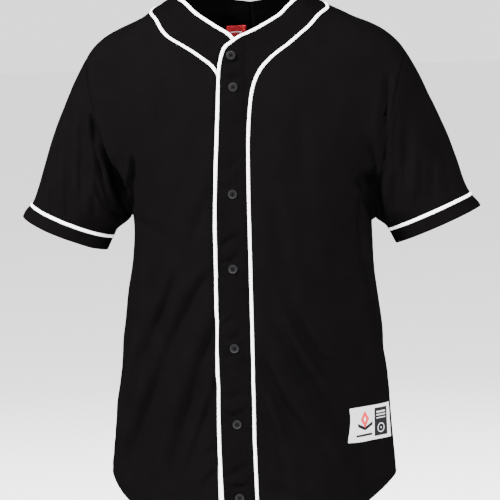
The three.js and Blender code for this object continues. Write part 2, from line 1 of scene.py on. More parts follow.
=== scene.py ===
"""Looks of the baseball jersey: knitted cloth, white braid, buttons, labels and stitching."""

import math
import random

import bmesh
import bpy
import numpy as np
from mathutils import Matrix, Vector


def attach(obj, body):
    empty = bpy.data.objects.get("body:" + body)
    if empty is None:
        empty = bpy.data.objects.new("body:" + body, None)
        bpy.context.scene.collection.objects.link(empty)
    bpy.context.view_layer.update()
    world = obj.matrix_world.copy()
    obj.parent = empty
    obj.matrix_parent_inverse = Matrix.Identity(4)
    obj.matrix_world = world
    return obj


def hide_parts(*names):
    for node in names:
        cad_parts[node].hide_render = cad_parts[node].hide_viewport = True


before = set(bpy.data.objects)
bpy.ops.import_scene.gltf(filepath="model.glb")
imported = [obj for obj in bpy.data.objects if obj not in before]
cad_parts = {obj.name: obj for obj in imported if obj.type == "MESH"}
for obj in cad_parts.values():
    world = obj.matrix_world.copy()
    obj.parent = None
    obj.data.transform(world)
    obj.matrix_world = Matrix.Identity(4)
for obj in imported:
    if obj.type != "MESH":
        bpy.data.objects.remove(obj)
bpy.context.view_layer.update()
MM = 0.001

# Camera, as the photograph was taken: sizes in millimetres and degrees
PHOTO_PIXELS = 500
PIXEL = 1.55
CAMERA_DISTANCE = 4000.0
CAMERA_TURN = 7.0
CAMERA_RISE = 6.0
CAMERA_ROLL = 1.5
CAMERA_TARGET = (12.0, 0.0, -377.0)
SENSOR = 36.0

# Cloth, millimetres. The over band is lifted off the under band up to a turn of LIFT_FULL degrees,
# and lies on the body again from LIFT_NONE on.
CLOTH, LABEL_CLOTH = 0.9, 0.6
HALF = CLOTH / 2
OVERLAP_LIFT = 3.2
LIFT_FULL, LIFT_NONE = 3.2, 7.6
BAND_CRINKLE = 0.45
BRAID_WIDTH, BRAID_HEIGHT = 5.2, 1.2
CUFF = 24.0
HEM_STITCH = 17.0

# Heights and grid of the panels, as in the solids
SIDE_HEM, FRONT_HEM, BACK_HEM = -724.0, -800.0, -818.0
AXIS_X, BODY_X = 12.0, 12.0
LOW_ROWS, HIGH_ROWS, FRONT_COLUMNS, NECK_ROWS, BAND_COLUMNS = 13, 14, 8, 6, 4


def table(names, rows):
    """Rows of numbers as named columns."""
    columns = np.array(rows, float).T
    return dict(zip(names.split(), columns))


TRUNK = table("height middle half front back round edge", [
    (60, 3, 66, 62, 62, 2.0, 2.0),
    (30, 4, 88, 70, 72, 2.0, 2.0),
    (15, 5, 106, 77, 82, 2.0, 2.0),
    (0, 6, 131, 83, 90, 2.0, 2.0),
    (-15, 12, 158, 89, 96, 2.0, 2.0),
    (-32, 12, 189, 94, 103, 2.05, 2.05),
    (-52, 12, 211, 99, 109, 2.1, 2.1),
    (-85, 11, 235, 106, 116, 2.15, 2.15),
    (-130, 10, 244, 114, 121, 2.2, 2.2),
    (-180, 11, 231, 121, 122, 2.2, 2.2),
    (-240, 13, 208, 126, 119, 2.2, 2.2),
    (-290, 16, 190, 127, 115, 2.2, 2.2),
    (-330, 17, 184, 126, 111, 2.2, 2.1),
    (-380, 16, 186, 124, 108, 2.2, 1.9),
    (-460, 14, 195, 122, 105, 2.15, 1.6),
    (-540, 13, 206, 122, 104, 2.12, 1.4),
    (-610, 11, 213, 122, 104, 2.1, 1.3),
    (-730, 6, 224, 124, 106, 2.1, 1.2),
    (-860, 6, 232, 126, 108, 2.1, 1.2),
])
SLEEVE = table("along outer inner depth", [
    (0, 60, 66, 62),
    (60, 67, 80, 70),
    (120, 70.5, 86, 74),
    (180, 68.5, 87, 74),
    (212, 67, 82, 72),
    (240, 68, 67, 70),
    (264, 75.5, 65.5, 70),
    (330, 78, 62, 70),
])
SHOULDER = (188.0, 6.0, -97.0)
HANG = math.radians(21.7)
SLEEVE_BACK = 0.06
CAP = 60.0
BLEND = table("height reach", [
    (0, 20), (-80, 34), (-200, 44), (-260, 32), (-295, 16), (-320, 8), (-900, 8),
])
OVER_BAND = table("step seam_turn seam edge_turn edge", [
    (0, 7.0, -330, -17.6, -330),
    (1, 7.1, -270, -16.6, -270),
    (2, 7.4, -215, -15.5, -212),
    (3, 8.8, -165, -15.0, -150),
    (4, 11.6, -125, -15.2, -97),
    (5, 17.5, -97, -12.5, -64),
    (6, 26.5, -77, -2.0, -47),
    (7, 38.9, -58, 17.0, -31),
    (8, 51.0, -37, 34.0, -15),
    (9, 66.0, -14, 55.0, 7),
    (10, 90.0, 0, 90.0, 26),
])
UNDER_BAND = table("step seam_turn seam edge_turn edge", [
    (0, -15.8, -330, 1.0, -330),
    (1, -14.8, -270, 1.0, -270),
    (2, -13.9, -215, 0.5, -212),
    (3, -13.4, -165, -0.5, -155),
    (4, -14.0, -107, 1.0, -104),
    (5, -18.5, -90, 1.5, -60),
    (6, -27.0, -76, -3.6, -43),
    (7, -38.0, -61, -19.0, -26),
    (8, -51.0, -44, -35.0, -10),
    (9, -66.0, -18, -55.0, 11),
    (10, -90.0, 0, -90.0, 26),
])
BACK_NECK = table("turn seam edge", [
    (90, 0, 26), (112, -9, 25), (135, -26, 19), (158, -40, 10), (180, -45, 5),
])
PLACKET = table("height over_seam over_edge under_seam under_edge", [
    (-330, 7.0, -17.6, -15.8, 1.0),
    (-500, 7.0, -19.1, -17.3, 1.0),
    (-650, 6.8, -18.9, -17.2, 1.0),
    (-710, 7.2, -18.2, -18.0, 1.2),
    (-800, 8.0, -16.7, -16.9, 1.5),
])
SLEEVE_PLANES = {
    1: table("step inner_x inner_z outer_x outer_z", [
        (0, 196, -330, 246, -77),
        (1, 214, -349, 337, -297),
        (2, 222, -371, 351, -317),
    ]),
    -1: table("step inner_x inner_z outer_x outer_z", [
        (0, 189, -316, 246, -77),
        (1, 214, -355, 337, -303),
        (2, 222, -377, 351, -323),
    ]),
}

BUTTONS = table("x height spin", [
    (4, -73, 17), (7, -120, -8), (4, -279, 31), (1, -392, 5),
    (0, -513, -22), (1, -629, 12), (2, -742, 0),
])

# Main folds, each a trough along a curve through three points (x and height each), then its depth,
# its width and its face; its steep wall is to the left (1) or to the right (-1) of the way down
FRONT, BACK, LEFT, RIGHT = 0, 1, 2, 3
FRONT_FOLDS = [
    (-94, -401, -126, -480, -174, -564, 6.5, 7.5, 1, FRONT),
    (-40, -400, -105, -516, -190, -715, 8.0, 9.0, 1, FRONT),
    (-25, -464, -69, -578, -121, -733, 8.5, 9.5, 1, FRONT),
    (-29, -562, -49, -617, -88, -730, 6.5, 7.5, 1, FRONT),
    (-32, -661, -43, -671, -53, -683, 2.6, 4.0, 1, FRONT),
    (-34, -698, -45, -711, -57, -728, 2.6, 4.0, 1, FRONT),
    (-24, -252, -55, -336, -97, -426, 3.2, 10.0, 1, FRONT),
    (-81, -267, -100, -337, -120, -421, 2.6, 10.0, 1, FRONT),
    (-164, -553, -181, -599, -194, -645, 3.4, 7.0, 1, FRONT),
    (-140, -584, -165, -649, -194, -704, 4.5, 9.0, 1, FRONT),
    (52, -437, 107, -562, 192, -705, 7.5, 7.5, -1, FRONT),
    (85, -429, 121, -520, 183, -589, 5.8, 7.0, -1, FRONT),
    (42, -522, 77, -609, 165, -744, 7.5, 8.0, -1, FRONT),
    (38, -583, 53, -645, 80, -735, 6.0, 7.0, -1, FRONT),
    (39, -666, 57, -716, 77, -747, 5.0, 8.0, -1, FRONT),
    (153, -649, 169, -683, 195, -709, 4.5, 6.5, -1, FRONT),
    (193, -464, 190, -504, 185, -549, 3.0, 6.0, -1, FRONT),
    (60, -268, 75, -350, 87, -448, 3.4, 9.0, -1, FRONT),
    (106, -150, 111, -231, 120, -319, 2.6, 11.0, -1, FRONT),
    (-106, -116, -103, -182, -100, -258, 2.4, 11.0, 1, FRONT),
    (142, -350, 164, -402, 193, -455, 2.8, 8.0, -1, FRONT),
    (-221, -161, -213, -229, -196, -308, 6.5, 3.8, 1, FRONT),
    (-219, -163, -197, -226, -172, -300, 10.5, 4.6, -1, FRONT),
    (-216, -247, -211, -291, -189, -317, 4.0, 4.0, 1, FRONT),
    (-189, -235, -177, -267, -164, -299, 12.0, 8.0, -1, FRONT),
    (-154, -219, -159, -266, -174, -317, 8.0, 3.8, 1, FRONT),
    (-154, -324, -131, -334, -101, -348, 2.8, 6.0, 1, FRONT),
    (-261, -147, -264, -237, -263, -320, 4.4, 5.5, 1, FRONT),
    (-240, -168, -240, -229, -241, -294, 3.4, 5.0, 1, FRONT),
    (-293, -252, -291, -288, -288, -320, 3.0, 5.0, 1, FRONT),
    (-220, -275, -221, -304, -220, -328, 2.8, 4.0, -1, FRONT),
    (-279, -211, -280, -263, -279, -315, 2.4, 6.0, -1, FRONT),
    (237, -110, 230, -191, 226, -267, 6.0, 4.5, -1, FRONT),
    (225, -252, 216, -280, 220, -332, 5.5, 4.0, 1, FRONT),
    (207, -211, 208, -264, 205, -331, 11.0, 9.0, -1, FRONT),
    (179, -265, 193, -272, 208, -282, 7.5, 7.0, 1, FRONT),
    (192, -279, 190, -332, 188, -396, 4.0, 6.0, 1, FRONT),
    (241, -118, 241, -138, 239, -160, 1.4, 4.0, -1, FRONT),
    (157, -333, 177, -340, 198, -340, 2.4, 7.0, 1, FRONT),
    (301, -189, 301, -247, 298, -302, 3.6, 7.0, -1, FRONT),
    (258, -156, 259, -222, 255, -305, 2.8, 6.0, 1, FRONT),
    (320, -235, 322, -264, 324, -292, 3.4, 6.0, -1, FRONT),
    (280, -217, 279, -268, 275, -311, 2.8, 5.0, 1, FRONT),
    (245, -249, 240, -291, 235, -327, 3.0, 5.0, 1, FRONT),
]
OTHER_FOLDS = [
    (4, -180, 0, -400, 10, -725, 4.4, 13.7, -1, BACK),
    (-128, -210, -92, -370, -60, -545, 6.9, 12.2, 1, BACK),
    (-158, -430, -130, -560, -112, -722, 6.9, 10.8, -1, BACK),
    (128, -235, 104, -400, 76, -585, 6.9, 12.2, 1, BACK),
    (160, -410, 140, -540, 128, -705, 6.9, 10.8, -1, BACK),
    (-60, -560, -40, -650, -34, -765, 4.4, 8.6, 1, BACK),
    (62, -600, 52, -690, 58, -770, 4.4, 8.6, -1, BACK),
    (-190, -560, -180, -640, -176, -722, 3.8, 7.9, 1, BACK),
    (187, -540, 178, -630, 176, -716, 3.8, 7.9, -1, BACK),
    (-150, -112, 0, -146, 152, -118, 2.2, 12.2, 1, BACK),
    (-222, -150, -205, -220, -178, -305, 5.0, 9.0, -1, BACK),
    (242, -150, 226, -220, 200, -305, 5.0, 9.0, 1, BACK),
    (-265, -150, -270, -230, -268, -300, 4.5, 8.6, -1, BACK),
    (290, -150, 296, -230, 294, -300, 4.5, 8.6, 1, BACK),
    (-236, -210, -240, -265, -236, -322, 2.6, 8.0, -1, BACK),
    (256, -205, 262, -262, 256, -318, 2.6, 8.0, 1, BACK),
    (-172, -332, -135, -350, -92, -388, 4.2, 7.2, -1, BACK),
    (196, -338, 160, -352, 116, -386, 4.2, 7.2, 1, BACK),
    (-46, -350, -20, -450, 12, -570, 4.0, 9.4, -1, LEFT),
    (40, -400, 22, -520, 26, -650, 3.8, 9.4, 1, LEFT),
    (-14, -120, -18, -200, -8, -290, 3.0, 9.4, -1, LEFT),
    (30, -140, 34, -210, 26, -285, 3.5, 8.6, 1, LEFT),
    (-40, -362, -22, -470, 6, -590, 4.0, 9.4, -1, RIGHT),
    (44, -410, 26, -500, 20, -640, 3.8, 9.4, 1, RIGHT),
    (-16, -130, -12, -210, -20, -285, 3.2, 9.4, -1, RIGHT),
    (28, -120, 30, -190, 34, -280, 3.2, 8.6, 1, RIGHT),
]
# Small creases that each button pulls into the placket: three points from the button's middle, depth
# and width, how far each coordinate may stray, and the least and most share of depth and of width
CREASES = (
    (-19, 20, -8, 13, 14, 21, 2.0, 3.0),
    (8, -8, 15, -16, 21, -32, 1.5, 3.0),
    (-20, -5, -14, -11, -5, -10, 1.3, 2.6),
    (-20, 34, -6, 40, 12, 52, 1.5, 3.6),
)
CREASE_STRAY = (1, 4, 3, 3, 2, 5)
CREASE_DEPTHS = (0.7, 1.2)
CREASE_WIDTHS = (0.8, 1.2)
CREASE_DEEPENING = 1.45
CREASE_SEED = 5
# None starts this far above the top button, and the fourth drawn stays as shallow as it is
NECK_CLEARANCE = 10
SHALLOW_CREASE = 3


def placket_creases():
    """The creases round the buttons, as rows for the table of folds."""
    draw = random.Random(CREASE_SEED)
    rows = []
    for x, height in zip(BUTTONS["x"], BUTTONS["height"]):
        top = height == BUTTONS["height"].max()
        for *places, depth, width in CREASES:
            if top and places[1] > NECK_CLEARANCE:
                continue
            points = []
            for start, place, stray in zip((x, height) * 3, places, CREASE_STRAY):
                points.append(round(start + place + draw.uniform(-stray, stray)))
            depth = round(depth * draw.uniform(*CREASE_DEPTHS), 1)
            width = round(width * draw.uniform(*CREASE_WIDTHS), 1)
            steep = draw.choice((1, -1))
            if len(rows) != SHALLOW_CREASE:
                depth = round(depth * CREASE_DEEPENING, 1)
            rows.append((*points, depth, width, steep, FRONT))
    return rows


FOLDS = table("x1 z1 x2 z2 x3 z3 depth width steep face",
              FRONT_FOLDS + placket_creases() + OTHER_FOLDS)
FACINGS = {FRONT: (1, -1.0), BACK: (1, 1.0), LEFT: (0, 1.0), RIGHT: (0, -1.0)}

BUTTON_RADIUS, BUTTON_HEIGHT = 7.0, 2.8

SIDES = {1: "left", -1: "right"}
CURVE_SAMPLES = 4001
TINY = 1e-9


def smooth(columns, key, value):
    """A smooth curve through one column of a table, with no overshoot between its rows."""
    order = np.argsort(columns[key])
    at, v = columns[key][order], columns[value][order]
    rise = np.diff(v) / np.diff(at)
    slope = np.concatenate([rise[:1], np.zeros(len(at) - 2), rise[-1:]])
    product = rise[:-1] * rise[1:]
    total = np.where(product > 0, rise[:-1] + rise[1:], 1.0)
    slope[1:-1] = np.where(product > 0, 2 * product / total, 0.0)
    dense = np.linspace(at[0], at[-1], CURVE_SAMPLES)
    k = np.clip(np.searchsorted(at, dense, side="right") - 1, 0, len(at) - 2)
    h = at[k + 1] - at[k]
    u = (dense - at[k]) / h
    curve = (2 * u ** 3 - 3 * u ** 2 + 1) * v[k] + (-2 * u ** 3 + 3 * u ** 2) * v[k + 1]
    curve += (u ** 3 - 2 * u ** 2 + u) * h * slope[k] + (u ** 3 - u ** 2) * h * slope[k + 1]
    return lambda x: np.interp(x, dense, curve)


trunk = {name: smooth(TRUNK, "height", name) for name in TRUNK if name != "height"}
sleeve = {name: smooth(SLEEVE, "along", name) for name in SLEEVE if name != "along"}
blend_reach = smooth(BLEND, "height", "reach")
LEAST_SLOPE = 1.2


def smoothstep(x, low, high):
    """A soft step from 0 at low to 1 at high."""
    t = np.clip((x - low) / (high - low), 0, 1)
    return t * t * (3 - 2 * t)


def trunk_field(p):
    """Signed distance, roughly, from the trunk: rings of its table with rounded corners."""
    x, y, z = p[..., 0], p[..., 1], p[..., 2]
    half = trunk["half"](z)
    depth = np.where(y < 0, trunk["front"](z), trunk["back"](z))
    m, n = trunk["round"](z), trunk["edge"](z)
    u = np.abs(x - trunk["middle"](z)) / half + TINY
    v = np.abs(y) / depth + TINY
    slope = np.hypot(m * u ** (m - 1) / half, n * v ** (n - 1) / depth)
    return (u ** m + v ** n - 1) / np.maximum(slope, LEAST_SLOPE / half)


def sleeve_field(p):
    """Signed distance, roughly, from the sleeve on the point's side: ellipses along its hang."""
    side = np.where(p[..., 0] < BODY_X, -1.0, 1.0)
    q = p - np.array((BODY_X, SHOULDER[1], SHOULDER[2]))
    qx = side * q[..., 0] - SHOULDER[0]
    qy, qz = q[..., 1], q[..., 2]
    scale = math.sqrt(1 + SLEEVE_BACK ** 2)
    down = np.array((math.sin(HANG), SLEEVE_BACK, -math.cos(HANG))) / scale
    out = np.array((math.cos(HANG), 0.0, math.sin(HANG)))
    across = np.cross(down, out)
    along = qx * down[0] + qy * down[1] + qz * down[2]
    w = qx * out[0] + qz * out[2]
    v = qx * across[0] + qy * across[1] + qz * across[2]
    outer, inner, depth = (sleeve[name](along) for name in ("outer", "inner", "depth"))
    radius = (outer + inner) / 2
    w = (w - (outer - inner) / 2) / radius
    cap = np.minimum(along, 0) / CAP
    return (np.sqrt(w ** 2 + (v / depth) ** 2 + cap ** 2) - 1) * np.minimum(radius, depth)


def form(p):
    """Signed distance, roughly, from the form that the garment lies on."""
    a, b = trunk_field(p), sleeve_field(p)
    reach = blend_reach(p[..., 2])
    h = np.maximum(reach - np.abs(a - b), 0) / reach
    return np.minimum(a, b) - h * h * reach / 4


NORMAL_STEP = 0.5


def normal_at(p):
    """Directions out of the form, of length 1."""
    n = np.empty_like(p)
    for axis in range(3):
        step = np.zeros(3)
        step[axis] = NORMAL_STEP
        n[..., axis] = form(p + step) - form(p - step)
    return n / np.linalg.norm(n, axis=-1, keepdims=True)


# A ray steps on by a share of the field, in millimetres between two limits, and is then halved
FARTHEST = 440.0
FIELD_SHARE = 0.6
SHORT_STEP, LONG_STEP = 1.5, 18.0
MARCH_STEPS, HALVINGS = 70, 14


def march(start, direction):
    """The first point of the form's surface on a ray from inside it."""
    start, direction = np.broadcast_arrays(np.asarray(start, float), np.asarray(direction, float))
    low = np.zeros(start.shape[:-1])
    high = np.full(start.shape[:-1], FARTHEST)
    inside = np.ones(low.shape, bool)
    t = low.copy()
    for _ in range(MARCH_STEPS):
        f = form(start + direction * t[..., None])
        now = inside & (f < 0)
        low = np.where(now, t, low)
        high = np.where(inside & ~now, t, high)
        inside = now
        t = np.where(inside, t + np.clip(-FIELD_SHARE * f, SHORT_STEP, LONG_STEP), t)
        if not inside.any():
            break
    for _ in range(HALVINGS):
        t = (low + high) / 2
        is_in = form(start + direction * t[..., None]) < 0
        low, high = np.where(is_in, t, low), np.where(is_in, high, t)
    return start + direction * ((low + high) / 2)[..., None]


def turned(turn, height):
    """Surface points at a turn round the trunk's axis, degrees from the front, and a height."""
    turn, height = np.broadcast_arrays(np.asarray(turn, float), np.asarray(height, float))
    a = np.radians(turn)
    start = np.stack([np.full(a.shape, AXIS_X), np.zeros(a.shape), height], -1)
    return march(start, np.stack([np.sin(a), -np.cos(a), np.zeros(a.shape)], -1))


def turn_of(p):
    """Turn of points round the trunk's axis, degrees from the front."""
    return np.degrees(np.arctan2(p[..., 0] - AXIS_X, -p[..., 1]))


# Fine rows and columns, counted in the solids' rows and columns
EDGE_STEPS = np.array((0.0, 0.03, 0.07, 0.12))


def stops(count, per_cell, first=True, last=True):
    """Even stops from 0 to count, with closer ones at the ends that are seams."""
    even = np.linspace(0, count, count * per_cell + 1)
    extra = [even]
    if first:
        extra.append(EDGE_STEPS)
    if last:
        extra.append(count - EDGE_STEPS)
    return np.unique(np.round(np.concatenate(extra), 5))


LOW = stops(LOW_ROWS, 10, last=False)
HIGH = stops(HIGH_ROWS, 7, first=False)
ROWS = np.concatenate([LOW[:-1], LOW_ROWS + HIGH])
NECK = stops(NECK_ROWS, 5, first=False, last=False)
ACROSS = stops(FRONT_COLUMNS, 8)
BAND_ACROSS = stops(BAND_COLUMNS, 5)
SLEEVE_STEPS = np.concatenate([
    EDGE_STEPS[:-1] / 5, np.linspace(EDGE_STEPS[1], 1, 60), np.linspace(1, 2, 9)[1:],
])
LEAST_RISE = 0.5
SHOULDER_SPREAD, TOP_SPREAD = 1.3, 1.4
HEM_POWER, HEM_ROUND = 5, 0.38


def sleeve_point(side, step, around):
    """Surface points at a step along a sleeve and degrees round it, from its outer line forwards."""
    step, around = np.broadcast_arrays(np.asarray(step, float), np.asarray(around, float))
    planes = SLEEVE_PLANES[side]
    at = {name: np.interp(step, planes["step"], planes[name]) for name in planes}
    zero = np.zeros(step.shape)
    inner = np.stack([side * at["inner_x"] + BODY_X, zero, at["inner_z"]], -1)
    outer = np.stack([side * at["outer_x"] + BODY_X, zero, at["outer_z"]], -1)
    up = outer - inner
    up /= np.linalg.norm(up, axis=-1, keepdims=True)
    middle = (inner + outer) / 2
    middle[..., 1] = SHOULDER[1]
    a = np.radians(around)[..., None]
    return march(middle, up * np.cos(a) + np.array((0.0, -1.0, 0.0)) * np.sin(a))


def armhole(side, face):
    """Front (1) or back (-1) half of an armhole, armpit to shoulder."""
    return sleeve_point(side, 0.0, face * 180 * (1 - HIGH / HIGH_ROWS))


def hem_height(turn, bottom):
    """Height of the shirt-tail hem, low in front and behind and high at the sides."""
    across = np.minimum(np.abs(np.sin(np.radians(turn))), 1)
    return bottom + (SIDE_HEM - bottom) * (1 - (1 - across ** HEM_POWER) ** HEM_ROUND)


def band_line(band, side, kind):
    """Turns and heights of one edge of a band, hem to shoulder and on to the middle of the back."""
    name = ("over_" if side > 0 else "under_") + kind
    low = LOW[:-1] / LOW_ROWS
    low_height = FRONT_HEM + (band["seam"][0] - FRONT_HEM) * low
    low_turn = smooth(PLACKET, "height", name)(low_height)
    step = HIGH / HIGH_ROWS * band["step"][-1]
    neck_turn = 90 + 90 * NECK[1:] / NECK_ROWS
    turn = [low_turn, smooth(band, "step", kind + "_turn")(step), side * neck_turn]
    height = [low_height, smooth(band, "step", kind)(step), smooth(BACK_NECK, "turn", kind)(neck_turn)]
    return np.concatenate(turn), np.concatenate(height)


LINES = {
    (side, kind): band_line(band, side, kind)
    for side, band in ((1, OVER_BAND), (-1, UNDER_BAND))
    for kind in ("seam", "edge")
}
SEAMS = {side: turned(*LINES[side, "seam"]) for side in (1, -1)}


def outer_edge(side, face):
    """Side seam and armhole, hem to shoulder point."""
    armpit = SLEEVE_PLANES[side]["inner_z"][0]
    heights = SIDE_HEM + (armpit - SIDE_HEM) * LOW[:-1] / LOW_ROWS
    return np.concatenate([turned(side * 90.0, heights), armhole(side, face)])


def shoulder_seam(side):
    """Points from the neck band's seam out to the armhole."""
    start, end = SEAMS[side][len(ROWS) - 1], armhole(side, 1)[-1]
    share = (ACROSS[1:-1] / FRONT_COLUMNS) ** SHOULDER_SPREAD
    inner = turned(side * 90.0, start[2] + (end[2] - start[2]) * share)
    return np.concatenate([start[None], inner, end[None]])


def rising(heights):
    """Rows of heights, each at least a little above the one below it."""
    least = LEAST_RISE * np.arange(len(heights))[:, None]
    return np.maximum.accumulate(heights - least, 0) + least


def panel_points(left, right, turn_left, turn_right, share, bottom, top, turn_top):
    """Points of a panel between two edges, a bottom line of heights and a top seam."""
    row = ROWS[:, None]
    low = np.maximum(0, 1 - row / LOW_ROWS)
    high = np.maximum(0, (row - LOW_ROWS) / HIGH_ROWS) ** TOP_SPREAD
    s = share[None]
    turns = turn_left[:, None] * (1 - s) + turn_right[:, None] * s
    heights = left[:, None, 2] * (1 - s) + right[:, None, 2] * s
    turns = turns + high * (turn_top[None] - turns[-1:])
    heights = heights + low * (bottom[None] - heights[:1]) + high * (top[None, :, 2] - heights[-1:])
    heights = rising(heights)
    points = turned(turns, heights)
    points[:, 0], points[:, -1], points[-1] = left, right, top
    return points


def front_points(side):
    seam = SEAMS[side][:len(ROWS)]
    outer, top = outer_edge(side, 1), shoulder_seam(side)
    turn_seam, turn_outer = turn_of(seam), turn_of(outer)
    share = ACROSS / FRONT_COLUMNS
    bottom = hem_height(turn_seam[0] + (side * 90 - turn_seam[0]) * share, FRONT_HEM)
    return panel_points(seam, outer, turn_seam, turn_outer, share, bottom, top, turn_of(top))


def back_points():
    neck = slice(len(ROWS) - 1, None)
    left, right = outer_edge(1, -1), outer_edge(-1, -1)
    neck_left, neck_right = SEAMS[1][neck], SEAMS[-1][neck][::-1]
    top = np.concatenate([
        shoulder_seam(1)[::-1][:-1], neck_left, neck_right[1:], shoulder_seam(-1)[1:],
    ])
    shoulder = FRONT_COLUMNS - ACROSS[::-1]
    columns = np.concatenate([
        shoulder[:-1],
        FRONT_COLUMNS + NECK,
        (FRONT_COLUMNS + 2 * NECK_ROWS - NECK[::-1])[1:],
        (FRONT_COLUMNS + 2 * NECK_ROWS + ACROSS)[1:],
    ])
    share = columns / columns[-1]
    bottom = hem_height(90 + 180 * share, BACK_HEM)
    around = [np.mod(turn_of(line), 360) for line in (left, right, top)]
    return panel_points(left, right, around[0], around[1], share, bottom, top, around[2])


def band_points(side):
    turn_edge, height_edge = LINES[side, "edge"]
    turn_seam, height_seam = LINES[side, "seam"]
    s = (BAND_ACROSS / BAND_COLUMNS)[None]
    turns = turn_edge[:, None] * (1 - s) + turn_seam[:, None] * s
    heights = height_edge[:, None] * (1 - s) + height_seam[:, None] * s
    points = turned(turns, heights)
    points[:, -1] = SEAMS[side]
    return points


def sleeve_points(side):
    front = 180 * (1 - HIGH / HIGH_ROWS)[::-1]
    around = np.concatenate([front, 360 - front[::-1][1:-1]])
    return sleeve_point(side, SLEEVE_STEPS[:, None], around[None])


WAVES_A_LENGTH, WAVE_SPREAD = 3, 1.8


def waves(p, lengths, seed, stretch=(1.0, 1.0, 1.0)):
    """Uneven waves in space, about -1 to 1, of the given lengths in millimetres."""
    local = np.random.default_rng(seed)
    total = np.zeros(p.shape[:-1])
    for length in lengths:
        for _ in range(WAVES_A_LENGTH):
            direction = local.normal(size=3)
            direction /= np.linalg.norm(direction)
            direction *= 2 * np.pi / (length * np.array(stretch))
            total += np.sin(p @ direction + local.uniform(0, 2 * np.pi))
    return total / (WAVE_SPREAD * math.sqrt(len(lengths)))


def bump_at(distance, place, width):
    """A soft bump of height 1 at a place."""
    return np.exp(-((distance - place) / width) ** 2)


# A fold runs through FOLD_STEPS points. Across it, in its own widths, it has a steep and a soft side
# and a ridge on either side. It fades at its ends, wanders in depth and widens along its way.
FOLD_STEPS = 13
FACING_NONE, FACING_FULL = 0.08, 0.5
FOLD_FADE = 0.45
STEEP_SIDE, SOFT_SIDE = 0.75, 1.6
NEAR_RIDGE, FAR_RIDGE = (0.42, -1.9, 0.95), (0.2, 3.1, 1.2)
WANDERS = ((0.22, 7.3, 1), (0.12, 17.1, 2))
NARROW_END, WIDENING = 0.8, 0.4
FOLD_REACH = 4


def nearest_on(path, q):
    """How far points lie from a path of lines, signed to its left, and how far along it, 0 to 1."""
    a, d = path[:-1], np.diff(path, axis=0)
    rel = q[:, None] - a[None]
    u = np.clip((rel * d).sum(-1) / (d ** 2).sum(-1), 0, 1)
    away = rel - u[..., None] * d
    gap = np.hypot(away[..., 0], away[..., 1])
    k = gap.argmin(1)
    pick = np.arange(len(q))
    u, gap, rel = u[pick, k], gap[pick, k], rel[pick, k]
    off = (d[k, 0] * rel[:, 1] - d[k, 1] * rel[:, 0]) / np.hypot(d[k, 0], d[k, 1])
    off = np.where(u * (1 - u) == 0, gap * np.sign(off + TINY), off)
    return off, (k + u) / len(d)


def fold_depth(p, n):
    """How far the folds press a point of the form in."""
    press = np.zeros(p.shape[:-1])
    t = np.linspace(0, 1, FOLD_STEPS)[:, None]
    for i, face in enumerate(FOLDS["face"].astype(int)):
        axis, sign = FACINGS[face]
        facing = smoothstep(sign * n[..., axis], FACING_NONE, FACING_FULL)
        flat = p[..., 1:] if axis == 0 else p[..., (0, 2)]
        ends = [np.array((FOLDS[f"x{k}"][i], FOLDS[f"z{k}"][i])) for k in (1, 2, 3)]
        middle = 2 * ends[1] - (ends[0] + ends[2]) / 2
        path = (1 - t) ** 2 * ends[0] + 2 * t * (1 - t) * middle + t ** 2 * ends[2]
        width = FOLDS["width"][i]
        reach = np.ptp(path, 0).max() / 2 + FOLD_REACH * width
        near = (facing > 0) & (np.abs(flat - path.mean(0)).max(-1) < reach)
        off, along = nearest_on(path, flat[near])
        fade = np.sin(np.pi * np.clip(along, 0.01, 0.99)) ** FOLD_FADE
        wander = 1 + sum(size * np.sin(rate * along + shift * i) for size, rate, shift in WANDERS)
        off = off * FOLDS["steep"][i] / (width * (NARROW_END + WIDENING * along))
        shape = np.exp(-np.where(off < 0, (off / STEEP_SIDE) ** 2, (off / SOFT_SIDE) ** 2))
        for height, place, wide in (NEAR_RIDGE, FAR_RIDGE):
            shape -= height * bump_at(off, place, wide)
        press[near] += facing[near] * FOLDS["depth"][i] * fade * wander * shape
    return press


# Round a button: a dent under it, three pinches on a ring, and a short slanting tug beside it
DENT_DEPTH, DENT_WIDTH = 0.7, 11
PINCH_DEPTH, PINCH_RING, PINCH_WIDTH = 0.55, 17, 8
TUG_DEPTH, TUG_RISE, TUG_SLANT, TUG_WIDTH = 0.5, 5, 0.7, 3.2
TUG_AT, TUG_LENGTH = -14, 9


def button_pull(p, n):
    """Small dents and pinches where the buttons hold the placket."""
    press = np.zeros(p.shape[:-1])
    front = smoothstep(-n[..., 1], 0.3, 0.7)
    for x, height in zip(BUTTONS["x"], BUTTONS["height"]):
        dx, dz = p[..., 0] - x, p[..., 2] - height
        r = np.hypot(dx, dz)
        lobes = np.cos(3 * np.arctan2(dz, dx) - 2.2 + 0.02 * height)
        tug = bump_at(dz - TUG_SLANT * dx, TUG_RISE, TUG_WIDTH) * bump_at(dx, TUG_AT, TUG_LENGTH)
        press += front * DENT_DEPTH * bump_at(r, 0, DENT_WIDTH)
        press += front * PINCH_DEPTH * lobes * bump_at(r, PINCH_RING, PINCH_WIDTH)
        press += front * TUG_DEPTH * tug
    return press


# Waves of the cloth: lengths, seed and stretch along x, y and z
EASE, EASE_WAVES = 1.0, ((46, 74, 120), 11, (1.0, 1.0, 2.6))
HEM_EASE, HEM_WAVES = 2.2, ((95, 150), 23, (1.0, 1.0, 40.0))
HEM_EASE_TOP, HEM_EASE_FULL = 560, 800
CRINKLE_WAVES = ((8, 12, 19, 30), 67, (1.0, 1.0, 0.7))
PUCKER, PUCKER_WAVES, PUCKER_REACH = 0.18, ((13, 19, 31), 31), 10
HEM_PUCKER, HEM_PUCKER_WAVES, HEM_PUCKER_REACH = 0.5, ((15, 23, 34), 41), 12


